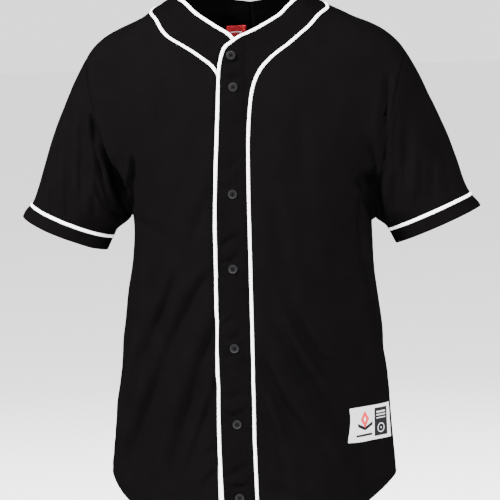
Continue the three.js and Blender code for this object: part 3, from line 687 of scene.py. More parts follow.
def settled(p):
    """Points of the form moved into the cloth's folds, and the normals of the form."""
    n = normal_at(p)
    hem = smoothstep(-p[..., 2], HEM_EASE_TOP, HEM_EASE_FULL) * waves(p, *HEM_WAVES)
    press = fold_depth(p, n) + button_pull(p, n) - EASE * waves(p, *EASE_WAVES) - HEM_EASE * hem
    return p - n * press[..., None], n


def arc(points, axis):
    """Lengths along the rows (axis 1) or columns (axis 0) of a grid of points."""
    step = np.linalg.norm(np.diff(points, axis=axis), axis=-1)
    zero = np.zeros_like(np.take(step, [0], axis))
    return np.cumsum(np.concatenate([zero, step], axis), axis)


# Across a seam: a groove on it and a low welt beside it, as height, place and width
GROOVE, WELT = (-0.6, 0.0, 1.1), (0.12, 4.5, 3.0)
HEM_LIFT, HEM_GROOVE = 0.15, (-0.25, HEM_STITCH, 1.6)
CALM_EDGE = 9


def seam_dip(distance, edge_points):
    """Height of the cloth near a sewn seam: a groove, a low welt and small puckers."""
    pucker = PUCKER * waves(edge_points, *PUCKER_WAVES) * np.exp(-distance / PUCKER_REACH)
    return sum(height * bump_at(distance, *at) for height, *at in (GROOVE, WELT)) + pucker


class Cloth:
    """A grid of settled points with normals and flat lengths, in millimetres."""

    def __init__(self, base, seams, closed=False, lift=0.0, crinkle=0.0):
        self.closed = closed
        self.p, self.n = settled(base)
        self.across, self.up = arc(self.p, 1), arc(self.p, 0)
        across, up = self.across, self.up
        calm = 1 - bump_at(np.minimum(across, across[:, -1:] - across), 0, CALM_EDGE)
        height = lift + crinkle * calm * waves(self.p, *CRINKLE_WAVES)
        edges = {
            "left": (across, self.p[:, :1]),
            "right": (across[:, -1:] - across, self.p[:, -1:]),
            "bottom": (up, self.p[:1]),
            "top": (up[-1:] - up, self.p[-1:]),
        }
        for edge, (distance, edge_points) in edges.items():
            if edge in seams:
                height += seam_dip(distance, edge_points)
        if "hem" in seams:
            height += self.hem_rise(up)
        self.p = self.p + self.n * height[..., None]
        middle = slice(across.shape[1] // 2, across.shape[1] // 2 + 1)
        lengths = np.broadcast_to(up[:, middle], across.shape)
        self.uv = np.stack([across - across[:, middle], lengths], -1)

    def hem_rise(self, up):
        """The turned-up hem's double cloth, its stitched groove and the puckers along it."""
        double = HEM_LIFT * (1 - smoothstep(up, HEM_STITCH - 2, HEM_STITCH + 4))
        groove = HEM_GROOVE[0] * bump_at(up, *HEM_GROOVE[1:])
        pucker = HEM_PUCKER * waves(self.p, *HEM_PUCKER_WAVES)
        return double + groove + pucker * bump_at(up, HEM_STITCH, HEM_PUCKER_REACH)


def mesh_object(name, points, faces, uv=None):
    """A mesh piece from points in millimetres; uv holds one pair for each point."""
    mesh = bpy.data.meshes.new(name)
    mesh.from_pydata((points.reshape(-1, 3) * MM).tolist(), [], faces)
    if uv is not None:
        layer = mesh.uv_layers.new(name="cloth")
        corner = np.empty(len(mesh.loops), int)
        mesh.loops.foreach_get("vertex_index", corner)
        layer.data.foreach_set("uv", (uv.reshape(-1, 2)[corner] * MM).ravel())
    mesh.polygons.foreach_set("use_smooth", [True] * len(mesh.polygons))
    return linked(name, mesh)


def linked(name, mesh):
    """A new object in the scene with the given mesh."""
    piece = bpy.data.objects.new(name, mesh)
    bpy.context.collection.objects.link(piece)
    return piece


def grid_faces(rows, columns, closed=False):
    """Quads of a grid whose rows run up; columns wrap round if it is closed."""
    index = np.arange(rows * columns).reshape(rows, columns)
    following = np.roll(index, -1, 1)
    if not closed:
        index, following = index[:, :-1], following[:, :-1]
    quads = np.stack([index[:-1], following[:-1], following[1:], index[1:]], -1)
    return quads.reshape(-1, 4)


def facing_out(piece, grid_normals):
    """Turns a grid's faces round where they point against its normals."""
    mesh = piece.data
    first = mesh.polygons[len(mesh.polygons) // 2]
    if first.normal.dot(Vector(grid_normals.reshape(-1, 3)[first.vertices[0]])) < 0:
        mesh.flip_normals()


def select_alone(piece):
    bpy.ops.object.select_all(action="DESELECT")
    bpy.context.view_layer.objects.active = piece
    piece.select_set(True)


def apply_modifiers(piece):
    select_alone(piece)
    for modifier in list(piece.modifiers):
        bpy.ops.object.modifier_apply(modifier=modifier.name)


def cloth_piece(name, cloth, thickness):
    """A thin closed shell round a grid of cloth."""
    rows, columns = cloth.p.shape[:2]
    piece = mesh_object(name, cloth.p, grid_faces(rows, columns, cloth.closed).tolist(), cloth.uv)
    facing_out(piece, cloth.n)
    shell = piece.modifiers.new("wall", "SOLIDIFY")
    shell.thickness = thickness * MM
    shell.offset = 0.0
    apply_modifiers(piece)
    return piece


def sampled(at, lengths, line):
    """Points of a line at the given lengths along it."""
    return np.stack([np.interp(at, lengths, line[:, k]) for k in range(3)], -1)


def unit(vectors):
    return vectors / np.linalg.norm(vectors, axis=1, keepdims=True)


def at_distance(points, normals, lengths, distance):
    """One point of each row of a grid, at a length along it, with its normal."""
    p = np.array([sampled(distance, *row) for row in zip(lengths, points)])
    n = np.array([sampled(distance, *row) for row in zip(lengths, normals)])
    return p, unit(n)


def rows_from(cloth, edge):
    """Lines of a cloth's points that run inwards from one of its edges, with normals and lengths."""
    p, n = cloth.p, cloth.n
    if edge in ("bottom", "top"):
        p, n = p.transpose(1, 0, 2), n.transpose(1, 0, 2)
    if edge in ("right", "top"):
        p, n = p[:, ::-1], n[:, ::-1]
    return p, n, arc(p, 1)


# Half of a braid's section is 1 wide; it is rounded at its edges, with a groove along its middle
BRAID_SECTION = np.array((-1.0, -0.86, -0.6, -0.3, 0.0, 0.3, 0.6, 0.86, 1.0))
BRAID_OFFSETS = BRAID_SECTION * BRAID_WIDTH / 2
BRAID_ROUND = 5
BRAID_GROOVE, BRAID_GROOVE_WIDTH = 0.12, 0.16
BRAID_ABOVE, BRAID_SUNK = 0.1, 0.15


def braid_piece(name, lines, closed=False):
    """A flat braid with rounded edges over lines of cloth points, one for each width of its section."""
    profile = BRAID_HEIGHT * (1 - np.abs(BRAID_SECTION) ** BRAID_ROUND) ** 0.5
    profile -= BRAID_GROOVE * bump_at(BRAID_SECTION, 0, BRAID_GROOVE_WIDTH)
    top = [p + n * (HALF + BRAID_ABOVE + h) for (p, n), h in zip(lines, profile)]
    low = [p + n * (HALF - BRAID_SUNK) for p, n in lines]
    points = np.stack(top + low[::-1][1:-1], 1)
    rows, columns = points.shape[:2]
    along = np.broadcast_to(arc(points[:, len(top) // 2][:, None], 0), (rows, columns))
    across = np.concatenate([BRAID_OFFSETS, BRAID_OFFSETS[::-1][1:-1]])
    uv = np.stack([np.broadcast_to(across, (rows, columns)), along], -1)
    faces = grid_faces(rows, columns, True).tolist()
    first, last = range(columns), range((rows - 1) * columns, rows * columns)
    if closed:
        for k in range(columns):
            following = (k + 1) % columns
            faces.append([last[k], last[following], first[following], first[k]])
    else:
        faces += [list(first)[::-1], list(last)]
    piece = mesh_object(name, points, faces, uv)
    outwards(piece.data)
    return piece


def outwards(mesh):
    """Turns the faces of a closed mesh outwards."""
    work = bmesh.new()
    work.from_mesh(mesh)
    bmesh.ops.recalc_face_normals(work, faces=work.faces)
    work.to_mesh(mesh)
    work.free()


# A stitch is a short thread that dips into the cloth at both ends, where it is thinner
STITCH_RINGS = np.array((-0.5, -0.3, 0.0, 0.3, 0.5))
STITCH_SIDES = 5
STITCH_TAPER = 0.75
STITCH_RISE, STITCH_DIP = 0.9, 2.2
STITCH_JITTER = 0.12
STITCH_HEADING = 0.6
stitch_chance = np.random.default_rng(7)


def rounds(sides):
    """Cosines and sines of even angles round a thread."""
    angles = np.linspace(0, 2 * np.pi, sides, endpoint=False)
    return np.cos(angles), np.sin(angles)


def stitch_template(length, radius):
    """Points and faces of one stitch along x, with z out of the cloth."""
    cosines, sines = rounds(STITCH_SIDES)
    rings = []
    for t in STITCH_RINGS:
        size = radius * (1 - (2 * abs(t)) ** 3 * STITCH_TAPER)
        lift = radius * (STITCH_RISE - STITCH_DIP * (2 * t) ** 4)
        rings.append(np.stack([np.full(STITCH_SIDES, t * length), cosines * size, sines * size + lift], -1))
    return np.concatenate(rings), grid_faces(len(STITCH_RINGS), STITCH_SIDES, True)


def stitches(name, lines, spacing=3.0, length=2.3, radius=0.22, lift=HALF):
    """Threads laid end to end along lines of points with normals."""
    template, faces = stitch_template(length, radius)
    points, quads, count = [], [], 0
    for line, normals in lines:
        lengths = arc(line[:, None], 0)[:, 0]
        at = np.arange(spacing / 2, lengths[-1], spacing)
        at = at + stitch_chance.uniform(-STITCH_JITTER * spacing, STITCH_JITTER * spacing, len(at))
        n = unit(sampled(at, lengths, normals))
        t = sampled(at + STITCH_HEADING, lengths, line) - sampled(at - STITCH_HEADING, lengths, line)
        t = unit(t - n * (t * n).sum(1, keepdims=True))
        basis = np.stack([t, np.cross(n, t), n], 1)
        centre = sampled(at, lengths, line) + n * lift
        placed = centre[:, None] + np.einsum("vk,skx->svx", template, basis)
        points.append(placed.reshape(-1, 3))
        offsets = count + len(template) * np.arange(len(at))
        quads.append((faces[None] + offsets[:, None, None]).reshape(-1, 4))
        count += len(points[-1])
    return mesh_object(name, np.concatenate(points), np.concatenate(quads).tolist())


class Value:
    """A number that varies over a surface: one socket, with arithmetic that adds Math nodes."""

    def __init__(self, look, socket):
        self.look, self.socket = look, socket

    def math(self, operation, *others):
        node = self.look.node("Math", {"operation": operation}, dict(enumerate((self, *others))))
        return Value(self.look, node.outputs[0])

    def __add__(self, other):
        return self.math("ADD", other)

    def __sub__(self, other):
        return self.math("SUBTRACT", other)

    def __rsub__(self, other):
        return (self * -1) + other

    def __mul__(self, other):
        return self.math("MULTIPLY", other)

    def __truediv__(self, other):
        return self.math("DIVIDE", other)

    __radd__ = __add__
    __rmul__ = __mul__

    def sine(self):
        return self.math("SINE")

    def size(self):
        return self.math("ABSOLUTE")

    def above(self, other):
        return self.math("GREATER_THAN", other)

    def below(self, other):
        return self.math("LESS_THAN", other)

    def least(self, other):
        return self.math("MINIMUM", other)

    def most(self, other):
        return self.math("MAXIMUM", other)

    def power(self, other):
        return self.math("POWER", other)

    def between(self, low, high):
        return self.above(low) * self.below(high)


# Sockets of a Mix node that is set to colors
MIX_A, MIX_B, MIX_COLOR = 6, 7, 2


class Look:
    """A material on Principled, with one method that adds every other node."""

    def __init__(self, name, slot, color, roughness, constants=None):
        self.slot = slot
        self.material = bpy.data.materials.new(name)
        self.material.use_nodes = True
        self.tree = self.material.node_tree
        self.surface = self.tree.nodes["Principled BSDF"]
        self.surface.inputs["Base Color"].default_value = (*color, 1)
        self.surface.inputs["Roughness"].default_value = roughness
        for key, value in (constants or {}).items():
            self.surface.inputs[key].default_value = value

    def node(self, kind, settings=None, inputs=None):
        node = self.tree.nodes.new("ShaderNode" + kind)
        for key, value in (settings or {}).items():
            setattr(node, key, value)
        for key, value in (inputs or {}).items():
            if isinstance(value, Value):
                self.tree.links.new(value.socket, node.inputs[key])
            else:
                node.inputs[key].default_value = value
        return node

    def value(self, node, output=0):
        return Value(self, node.outputs[output])

    def flat(self):
        """Lengths across and along the cloth, in millimetres."""
        uv = self.value(self.node("UVMap", {"uv_map": "cloth"}))
        parts = self.node("SeparateXYZ", None, {0: uv})
        return self.value(parts, "X") / MM, self.value(parts, "Y") / MM

    def place(self):
        return self.value(self.node("TexCoord"), "Object")

    def noise(self, scale, detail=3.0, roughness=0.5):
        inputs = {"Vector": self.place(), "Scale": scale, "Detail": detail, "Roughness": roughness}
        return self.value(self.node("TexNoise", None, inputs), "Fac")

    def mix(self, factor, a, b):
        """The color a where factor is 0 and b where it is 1."""
        node = self.node("Mix", {"data_type": "RGBA"}, {"Factor": factor, MIX_A: a, MIX_B: b})
        return self.value(node, MIX_COLOR)

    def join(self, name, value):
        self.tree.links.new(value.socket, self.surface.inputs[name])

    def bump(self, height, distance, strength=1.0):
        inputs = {"Height": height, "Distance": distance * MM, "Strength": strength}
        self.join("Normal", self.value(self.node("Bump", None, inputs), "Normal"))

    def dress(self, piece):
        piece.data.materials.clear()
        piece.data.materials.append(self.material)


def rgba(red, green, blue):
    return (red, green, blue, 1.0)


def grey(level):
    return rgba(level, level, level)


def reach_from(u, v, across=0, up=0):
    """How far a place on the cloth is from a point of it."""
    u, v = u - across, v - up
    return (u * u + v * v).power(0.5)


# Spacing of the knit's wales and courses, of the braid's plaits and of the labels' weave
WALE, COURSE, PLAIT, HEM_WEAVE, NECK_WEAVE = 1.15, 1.5, 1.5, 0.7, 0.6


def cycles(length):
    """Radians a millimetre for waves of a length in millimetres."""
    return 2 * math.pi / length


def knit_cloth(name, slot, color, light):
    """Fine warp-knitted polyester: staggered loops and a little uneven dye."""
    look = Look(name, slot, color, 0.8, {"Specular IOR Level": 0.0})
    u, v = look.flat()
    drift = look.noise(60, 2)
    u, v = u + drift * 5, v + drift * 7
    loops = (u * cycles(WALE)).sine() * (v * cycles(COURSE)).sine()
    ribs = (u * cycles(2 * WALE)).sine().size()
    uneven = look.noise(26, 4, 0.6)
    fine = look.noise(900, 2)
    tone = uneven * 0.7 + loops * 0.06 + fine * 0.25
    look.join("Base Color", look.mix(tone, rgba(*color), rgba(*light)))
    look.join("Roughness", uneven * 0.16 + loops * 0.05 + 0.5)
    look.bump(loops * 0.5 + ribs * 0.35 + fine * 0.3, 0.09)
    return look


def white_braid():
    """Flat knitted braid: slanting plaits, and painted shade that greys it towards its rounded edges."""
    look = Look("white_braid", "braid", (0.86, 0.86, 0.85), 0.72, {"Sheen Weight": 0.1})
    u, v = look.flat()
    plait = ((v + u.size() * 0.9) * cycles(PLAIT)).sine()
    fine = look.noise(1400, 2)
    # painted shade: the braid is greyed towards its edges, where its rounded section rolls down onto the
    # cloth
    rim = (u.size() / (BRAID_WIDTH / 2)).power(6)
    tone = plait * 0.16 + fine * 0.3 + rim * 0.35 + 0.1
    look.join("Base Color", look.mix(tone, rgba(0.93, 0.93, 0.925), rgba(0.74, 0.74, 0.75)))
    look.join("Roughness", fine * 0.15 + 0.65)
    look.bump(plait * 0.6 + fine * 0.4, 0.18)
    return look


# The button's polished rim, as its radius and how fast the polish fades beside it
RIM_POLISH, RIM_RADIUS, RIM_FADE = 0.5, 5.7, 1.5
RESIN_GLOSS = {"Coat Roughness": 0.22, "Specular IOR Level": 0.03}


def button_resin():
    """Black polyester resin: a polished rim, faint grey clouds and fine scratches."""
    look = Look("black_resin", "button", (0.004, 0.004, 0.0045), 0.3, RESIN_GLOSS)
    away = (reach_from(*look.flat()) - RIM_RADIUS).size()
    look.join("Coat Weight", (1 - away * RIM_FADE).most(0) * RIM_POLISH)
    cloud = look.noise(420, 4, 0.65)
    scratch = look.noise(2600, 2)
    look.join("Base Color", look.mix(cloud, rgba(0.002, 0.002, 0.0024), rgba(0.007, 0.007, 0.0075)))
    look.join("Roughness", cloud * 0.12 + scratch * 0.1 + 0.2)
    look.bump(scratch, 0.02)
    return look


def thread(name, slot, color):
    """Twisted polyester thread, lighter and darker along its twist."""
    look = Look(name, slot, color, 0.7, {"Specular IOR Level": 0.01})
    twist = look.noise(3200, 2)
    dark = rgba(*(part * 0.7 for part in color))
    light = rgba(*(min(part * 1.5, 0.9) for part in color))
    look.join("Base Color", look.mix(twist, dark, light))
    look.join("Roughness", twist * 0.2 + 0.45)
    look.bump(twist, 0.05)
    return look


# Places on the hem label, millimetres from its middle and from its lower edge
PANEL = ((8, 36), (5, 49))
BAR_SPAN, BARS = (12, 32), ((41, 43.5), (36.5, 38.5), (32, 33.5))
RING_AT, RING, RING_DOT = (22, 17), (6.0, 7.4), 1.3
SIGN_X, DIAMOND_Z, CHEVRON_Z = -12, 34, 22
DIAMOND_SLOPES, DIAMOND, CORE = (1.25, 0.8), 11, 3.5
CHEVRON_SLOPE, CHEVRON, CHEVRON_HALF = 0.45, (-5.5, 0), 16
LINE = ((-31, 3), (8, 11.5))


def hem_label_look():
    """Light grey woven label: a dark side panel with bars and a ring, and plain shapes beside it."""
    look = Look("grey_label", "label", (0.6, 0.6, 0.61), 0.6, {"Specular IOR Level": 0.05})
    u, v = look.flat()
    weave = ((u + v) * cycles(HEM_WEAVE)).sine()
    fine = look.noise(1500, 2)
    panel = u.between(*PANEL[0]) * v.between(*PANEL[1])
    high, middle, low = (v.between(*bar) for bar in BARS)
    bars = u.between(*BAR_SPAN) * (high + middle + low)
    reach = reach_from(u, v, *RING_AT)
    ring = reach.between(*RING) + reach.below(RING_DOT)
    beside = (u - SIGN_X).size()
    diamond = beside * DIAMOND_SLOPES[0] + (v - DIAMOND_Z).size() * DIAMOND_SLOPES[1]
    chevron = ((v - CHEVRON_Z) - beside * CHEVRON_SLOPE).between(*CHEVRON) * beside.below(CHEVRON_HALF)
    line = u.between(*LINE[0]) * v.between(*LINE[1])
    ground = look.mix(weave * 0.12 + fine * 0.25, rgba(0.36, 0.36, 0.37), rgba(0.27, 0.27, 0.28))
    dark = rgba(0.0035, 0.0035, 0.004)
    beside_panel = 1 - panel
    face = look.mix(panel, ground, dark)
    face = look.mix((bars + ring).least(1) * panel * 0.75, face, rgba(0.4, 0.4, 0.41))
    face = look.mix((chevron + line).least(1) * beside_panel, face, dark)
    face = look.mix(diamond.below(DIAMOND) * beside_panel, face, rgba(0.36, 0.012, 0.022))
    face = look.mix(diamond.below(CORE) * beside_panel, face, rgba(0.44, 0.43, 0.43))
    look.join("Base Color", face)
    look.join("Roughness", fine * 0.2 + 0.5)
    look.bump(weave * 0.5 + fine * 0.5, 0.08)
    return look


NECK_BAR, NECK_BAR_HALF = (6, 8), 9


def neck_label_look():
    """Red woven label with one pale bar."""
    look = Look("red_label", "neck_label", (0.42, 0.02, 0.03), 0.5, {"Specular IOR Level": 0.1})
    u, v = look.flat()
    weave = ((u + v) * cycles(NECK_WEAVE)).sine()
    fine = look.noise(1500, 2)
    bar = v.between(*NECK_BAR) * u.size().below(NECK_BAR_HALF)
    red = look.mix(weave * 0.2 + fine * 0.3, rgba(0.36, 0.014, 0.022), rgba(0.2, 0.008, 0.014))
    look.join("Base Color", look.mix(bar, red, rgba(0.6, 0.5, 0.5)))
    look.join("Roughness", fine * 0.2 + 0.4)
    look.bump(weave * 0.5 + fine * 0.5, 0.07)
    return look


def photo_camera():
    """The camera as it stood for the photograph."""
    turn, rise, roll = (math.radians(a) for a in (CAMERA_TURN, CAMERA_RISE, CAMERA_ROLL))
    right = Vector((math.cos(turn), math.sin(turn), 0))
    look = Vector((-math.sin(turn) * math.cos(rise), math.cos(turn) * math.cos(rise), -math.sin(rise)))
    up = right.cross(look)
    right, up = right * math.cos(roll) - up * math.sin(roll), up * math.cos(roll) + right * math.sin(roll)
    lens = bpy.data.cameras.new("photo_camera")
    lens.sensor_width = SENSOR
    lens.lens = SENSOR * CAMERA_DISTANCE / (PHOTO_PIXELS * PIXEL)
    lens.clip_start, lens.clip_end = 0.05, 200
    camera = linked("photo_camera", lens)
    camera.matrix_world = Matrix((right, up, -look)).transposed().to_4x4()
    camera.location = Vector(CAMERA_TARGET) * MM - look * CAMERA_DISTANCE * MM
    bpy.context.scene.camera = camera


# Light: position in metres, size in metres, power in watts
LIGHTS = table("x y z width height power", [
    (-2.6, -2.0, 2.1, 0.6, 0.8, 985),
    (2.9, -2.4, 0.9, 1.0, 1.4, 445),
    (0.3, -2.1, 3.2, 1.0, 0.8, 200),
    (-1.2, 3.7, 1.6, 1.4, 1.6, 150),
    (1.5, 3.7, 1.3, 1.4, 1.6, 150),
])
LIGHT_AIM = Vector((0, 0, -0.4))
FLOOR_HEIGHT, FLOOR_RADIUS = -1.45, 40
SKY = 1.8


def studio():
    """A white sky, soft boxes and a plain pale floor."""
    world = bpy.data.worlds.new("studio")
    world.use_nodes = True
    background = world.node_tree.nodes["Background"]
    background.inputs["Color"].default_value = grey(1)
    background.inputs["Strength"].default_value = SKY
    bpy.context.scene.world = world
    for i in range(len(LIGHTS["x"])):
        lamp = bpy.data.lights.new(f"softbox_{i}", "AREA")
        lamp.shape = "RECTANGLE"
        lamp.size, lamp.size_y = LIGHTS["width"][i], LIGHTS["height"][i]
        lamp.energy = LIGHTS["power"][i]
        box = linked(lamp.name, lamp)
        box.location = (LIGHTS["x"][i], LIGHTS["y"][i], LIGHTS["z"][i])
        box.rotation_mode = "QUATERNION"
        box.rotation_quaternion = (LIGHT_AIM - box.location).to_track_quat("-Z", "Y")
    bpy.ops.mesh.primitive_circle_add(
        vertices=96, radius=FLOOR_RADIUS, fill_type="NGON", location=(0, 0, FLOOR_HEIGHT)
    )
    floor = bpy.context.object
    floor.name = "floor"
    paint = bpy.data.materials.new("floor_paint")
    paint.use_nodes = True
    surface = paint.node_tree.nodes["Principled BSDF"]
    surface.inputs["Base Color"].default_value = grey(0.9)
    surface.inputs["Roughness"].default_value = 0.9
    floor.data.materials.append(paint)


photo_camera()
studio()

cloth_look = knit_cloth("black_knit", "cloth", (0.00125, 0.0011, 0.00118), (0.0022, 0.00195, 0.0021))
band_look = knit_cloth("black_knit_doubled", "band", (0.0011, 0.00097, 0.00104), (0.0020, 0.00178, 0.0019))
braid_look = white_braid()
resin_look = button_resin()
black_thread = thread("black_thread", "cloth", (0.0016, 0.0015, 0.0016))
band_thread = thread("black_band_thread", "band", (0.0016, 0.0015, 0.0016))
grey_thread = thread("grey_thread", "label", (0.5, 0.5, 0.51))

pieces, sewn_on = {}, {}


def add_sheet(name, cloth, look, thickness=CLOTH):
    """A cut piece of cloth in place of the solid of that name."""
    piece = cloth_piece(name + "_cloth", cloth, thickness)
    look.dress(piece)
    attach(piece, "root")
    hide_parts(name)
    pieces[name], sewn_on[name] = piece, []


def add_trim(sheet, piece, look, *nodes):
    """A piece that is sewn to a sheet, in place of the solids that are named."""
    look.dress(piece)
    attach(piece, "root")
    if nodes:
        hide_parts(*nodes)
    sewn_on[sheet].append(piece)


def over_lift(points):
    """How far the over band is lifted where it lies on the under band."""
    turn = turn_of(points)
    front = (np.abs(turn) < 90) & (points[..., 1] < 0)
    return front * OVERLAP_LIFT * (1 - smoothstep(turn, LIFT_FULL, LIFT_NONE))


back_cloth = Cloth(back_points(), ("left", "right", "top", "hem"))
front_cloths, band_cloths, sleeve_cloths = {}, {}, {}
add_sheet("back", back_cloth, cloth_look)
for side, word in SIDES.items():
    front_cloths[side] = Cloth(front_points(side), ("left", "right", "top", "hem"))
    points = band_points(side)
    lift = over_lift(points) if side > 0 else 0.0
    band_cloths[side] = Cloth(points, ("right",), lift=lift, crinkle=BAND_CRINKLE)
    sleeve_cloths[side] = Cloth(sleeve_points(side), ("bottom",), closed=True)
    add_sheet(f"front_{word}", front_cloths[side], cloth_look)
    add_sheet(f"band_{word}", band_cloths[side], band_look)
    add_sheet(f"sleeve_{word}", sleeve_cloths[side], cloth_look)

# How far from an edge or a seam each row of stitches or braid lies
EDGE_BRAID_IN = BRAID_WIDTH / 2 + 0.3
EDGE_STITCH_IN = BRAID_WIDTH + 1.6
SEAM_STITCH_IN = BRAID_WIDTH / 2 + 1.4
HEM_ROWS = (HEM_STITCH, HEM_STITCH - 3)
CUFF_ROWS = (CUFF - 5.2, CUFF + 5.2)
SHOULDER_STITCH_IN = 5.5
SEAM_FILL, SEAM_FILL_WIDTH = 1.0, 1.5
SEAM_REACH = 24


def seam_rows(side):
    """Rows from a band's seam outwards: over the front panel, then down the back panel."""
    p, n, _ = rows_from(front_cloths[side], "left")
    back_p, back_n, _ = rows_from(back_cloth, "top")
    from_side = len(ACROSS) - 1 + np.arange(1, len(NECK))
    picks = from_side if side > 0 else len(back_p) - 1 - from_side
    points = np.concatenate([p[:, :SEAM_REACH], back_p[picks][:, :SEAM_REACH]])
    normals = np.concatenate([n[:, :SEAM_REACH], back_n[picks][:, :SEAM_REACH]])
    return points, normals, arc(points, 1)


def seam_braid_lines(inside, outside):
    """Lines of cloth points on both sides of a seam, with its groove filled under the braid."""
    lines = []
    for offset in BRAID_OFFSETS:
        p, n = at_distance(*(inside if offset < 0 else outside), abs(offset))
        lines.append((p + n * SEAM_FILL * bump_at(offset, 0, SEAM_FILL_WIDTH), n))
    return lines


def sew_side(side, word):
    """Braids and stitches of one half: along the band's edge and seam, the hem and the cuff."""
    front, band, sleeve = (f"{name}_{word}" for name in ("front", "band", "sleeve"))
    edge, inside = (rows_from(band_cloths[side], name) for name in ("left", "right"))
    outside, cuff = seam_rows(side), rows_from(sleeve_cloths[side], "top")
    hem = rows_from(front_cloths[side], "bottom")
    lines = [at_distance(*edge, EDGE_BRAID_IN + w) for w in BRAID_OFFSETS]
    braid = braid_piece(f"edge_braid_{word}", lines)
    add_trim(band, braid, braid_look, f"braid_edge_{word}")
    braid = braid_piece(f"seam_braid_{word}", seam_braid_lines(inside, outside))
    add_trim(band, braid, braid_look, f"braid_seam_{word}")
    lines = [at_distance(*cuff, CUFF + w) for w in BRAID_OFFSETS]
    braid = braid_piece(f"sleeve_braid_{word}", lines, closed=True)
    add_trim(sleeve, braid, braid_look, f"braid_sleeve_{word}")
    lines = [at_distance(*edge, EDGE_STITCH_IN), at_distance(*inside, SEAM_STITCH_IN)]
    add_trim(band, stitches(f"band_stitching_{word}", lines), band_thread)
    lines = [at_distance(*outside, SEAM_STITCH_IN)]
    lines += [at_distance(*hem, distance) for distance in HEM_ROWS]
    rings = [at_distance(*cuff, distance) for distance in CUFF_ROWS]
    lines += [(np.concatenate([p, p[:1]]), np.concatenate([n, n[:1]])) for p, n in rings]
    add_trim(front, stitches(f"panel_stitching_{word}", lines), black_thread)


def sew_back():
    """Stitches along the back's hem and shoulders."""
    lines = [at_distance(*rows_from(back_cloth, "bottom"), distance) for distance in HEM_ROWS]
    shoulder = len(ACROSS)
    for part in (slice(0, shoulder), slice(-shoulder, None)):
        top = (rows[part] for rows in rows_from(back_cloth, "top"))
        lines.append(at_distance(*top, SHOULDER_STITCH_IN))
    add_trim("back", stitches("back_stitching", lines), black_thread)


for side, word in SIDES.items():
    sew_side(side, word)
sew_back()


def label_cloth(turns, heights, columns, rows, offset):
    """A label on the form between two turns and two heights, at an offset from it."""
    turn, height = np.meshgrid(np.linspace(*turns, columns), np.linspace(*heights, rows))
    cloth = Cloth(turned(turn, height), ())
    cloth.p = cloth.p + cloth.n * offset
    cloth.uv = np.stack([cloth.across - cloth.across[:, -1:] / 2, cloth.up], -1)
    return cloth


LABEL_STITCH_IN = 1.8
LABEL_STITCH = {"spacing": 2.4, "length": 1.9, "radius": 0.2, "lift": 0.3}
tag = label_cloth((65.5, 88.3), (-669, -615), 40, 26, HALF + 0.5)
add_sheet("hem_label", tag, hem_label_look(), LABEL_CLOTH)
border = [
    at_distance(*rows_from(tag, edge), LABEL_STITCH_IN) for edge in ("left", "right", "bottom", "top")
]
add_trim("hem_label", stitches("hem_label_stitching", border, **LABEL_STITCH), grey_thread)
tag = label_cloth((185.3, 201.9), (-48, -31), 20, 14, -(HALF + 1.8))
add_sheet("neck_label", tag, neck_label_look(), LABEL_CLOTH)


# Steps of the button's face from its edge inwards: how far in, and how far up
RIM_RISE = 0.45
BUTTON_STEPS = (
    (0.7, 0.35), (0.6, 0.1), (0.7, 0.0), (0.6, -0.25), (0.5, -0.75), (0.5, -0.3), (1.2, 0.1),
)
BUTTON_BEVEL = 0.3
HOLE_AT, HOLE_RADIUS = 1.35, 0.85
BUTTON_GAP = 0.5


def button_blank():
    """A disc with a rolled rim round a sunk middle, its back on the plane z = 0."""
    bpy.ops.object.select_all(action="DESELECT")
    radius, height = BUTTON_RADIUS * MM, (BUTTON_HEIGHT - RIM_RISE) * MM
    middle = (0, 0, height / 2)
    bpy.ops.mesh.primitive_cylinder_add(vertices=64, radius=radius, depth=height, location=middle)
    disc = bpy.context.object
    disc.name = "button_blank"
    bpy.ops.object.mode_set(mode="EDIT")
    bpy.ops.mesh.select_mode(type="FACE")
    bpy.ops.mesh.select_all(action="DESELECT")
    work = bmesh.from_edit_mesh(disc.data)
    for face in work.faces:
        face.select = face.calc_center_median().z > height * 0.9
    bmesh.update_edit_mesh(disc.data)
    for inward, rise in BUTTON_STEPS:
        bpy.ops.mesh.inset(thickness=inward * MM)
        bpy.ops.transform.translate(value=(0, 0, rise * MM))
    bpy.ops.object.mode_set(mode="OBJECT")
    bevel = disc.modifiers.new("rounded", "BEVEL")
    bevel.width = BUTTON_BEVEL * MM
    bevel.segments = 2
    bevel.limit_method = "ANGLE"
    bevel.angle_limit = math.radians(25)
    apply_modifiers(disc)
    return disc


def drill_holes(disc):
    """Four holes for the thread."""
    height = (BUTTON_HEIGHT - RIM_RISE) * MM
    for x, y in ((-1, -1), (-1, 1), (1, -1), (1, 1)):
        bpy.ops.object.select_all(action="DESELECT")
        bpy.ops.mesh.primitive_cylinder_add(
            vertices=16,
            radius=HOLE_RADIUS * MM,
            depth=3 * height,
            location=(x * HOLE_AT * MM, y * HOLE_AT * MM, height / 2),
        )
        drill = bpy.context.object
        cut = disc.modifiers.new("hole", "BOOLEAN")
        cut.operation = "DIFFERENCE"
        cut.solver = "EXACT"
        cut.object = drill
        apply_modifiers(disc)
        bpy.data.objects.remove(drill)


def button_mesh():
    """A four-hole button, with its place on the button's face as its map."""
    disc = button_blank()
    drill_holes(disc)
    mesh = disc.data
    while mesh.uv_layers:
        mesh.uv_layers.remove(mesh.uv_layers[0])
    layer = mesh.uv_layers.new(name="cloth")
    for loop, spot in zip(mesh.loops, layer.data):
        spot.uv = mesh.vertices[loop.vertex_index].co.xy
    bpy.data.objects.remove(disc)
    return mesh


STRAND_RINGS, STRAND_SIDES, STRAND_RADIUS = 15, 8, 0.24
STRAND_SHIFT = 0.22 * 0.7
STRAND_LOW, STRAND_ARCH, STRAND_DIVE, STRAND_ON_TOP = BUTTON_HEIGHT - 1.5, 0.75, 1.3, 0.12


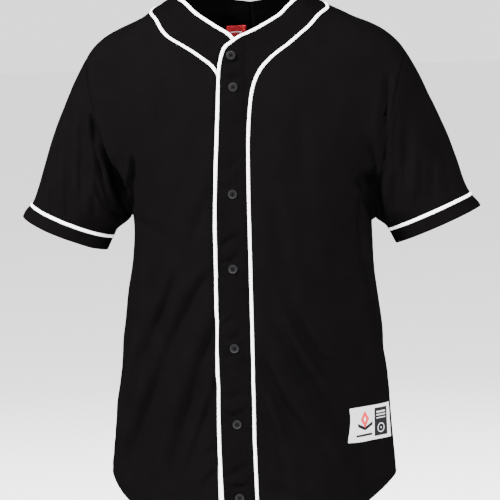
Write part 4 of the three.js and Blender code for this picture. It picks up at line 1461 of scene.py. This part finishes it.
def thread_cross():
    """Thread through the four holes: two crossing pairs of strands over the button's middle."""
    points, faces = [], []
    t = np.linspace(-1, 1, STRAND_RINGS)
    arch = STRAND_LOW + STRAND_ARCH * (1 - np.abs(t) ** 4) - STRAND_DIVE * np.abs(t) ** 12
    cosines, sines = (part[None, :, None] for part in rounds(STRAND_SIDES))
    for sign in (1, -1):
        for shift in (-STRAND_SHIFT, STRAND_SHIFT):
            x, y = t * HOLE_AT - sign * shift, sign * t * HOLE_AT + shift
            centre = np.stack([x, y, arch + STRAND_ON_TOP * (sign > 0)], -1)
            along = unit(np.gradient(centre, axis=0))
            side = unit(np.cross(along, (0, 0, 1.0)))
            up = np.cross(side, along)
            tube = centre[:, None] + STRAND_RADIUS * (side[:, None] * cosines + up[:, None] * sines)
            faces.append(grid_faces(STRAND_RINGS, STRAND_SIDES, True) + len(points) * t.size * STRAND_SIDES)
            points.append(tube.reshape(-1, 3))
    return np.concatenate(points), np.concatenate(faces).tolist()


def button_place(x, height, spin):
    """Where a button lies: on the over band, facing out and turned by its spin."""
    p, n = settled(march(np.array((x, 0.0, height)), np.array((0.0, -1.0, 0.0))))
    base = Vector(p + n * (OVERLAP_LIFT + HALF + BUTTON_GAP)) * MM
    tilt = Vector((0, 0, 1)).rotation_difference(Vector(n)).to_matrix().to_4x4()
    return Matrix.Translation(base) @ tilt @ Matrix.Rotation(math.radians(spin), 4, "Z")


def add_buttons():
    """The buttons, each with its cross of thread."""
    button, (cross_points, cross_faces) = button_mesh(), thread_cross()
    rows = zip(BUTTONS["x"], BUTTONS["height"], BUTTONS["spin"])
    for number, (x, height, spin) in enumerate(rows, 1):
        place = button_place(x, height, spin)
        mesh = button.copy()
        mesh.transform(place)
        piece = linked(f"button_{number}_resin", mesh)
        select_alone(piece)
        bpy.ops.object.shade_smooth_by_angle(angle=math.radians(35))
        add_trim("band_left", piece, resin_look, f"button_{number}")
        strands = mesh_object(f"button_{number}_thread", cross_points, cross_faces)
        strands.data.transform(place)
        add_trim("band_left", strands, black_thread)


add_buttons()
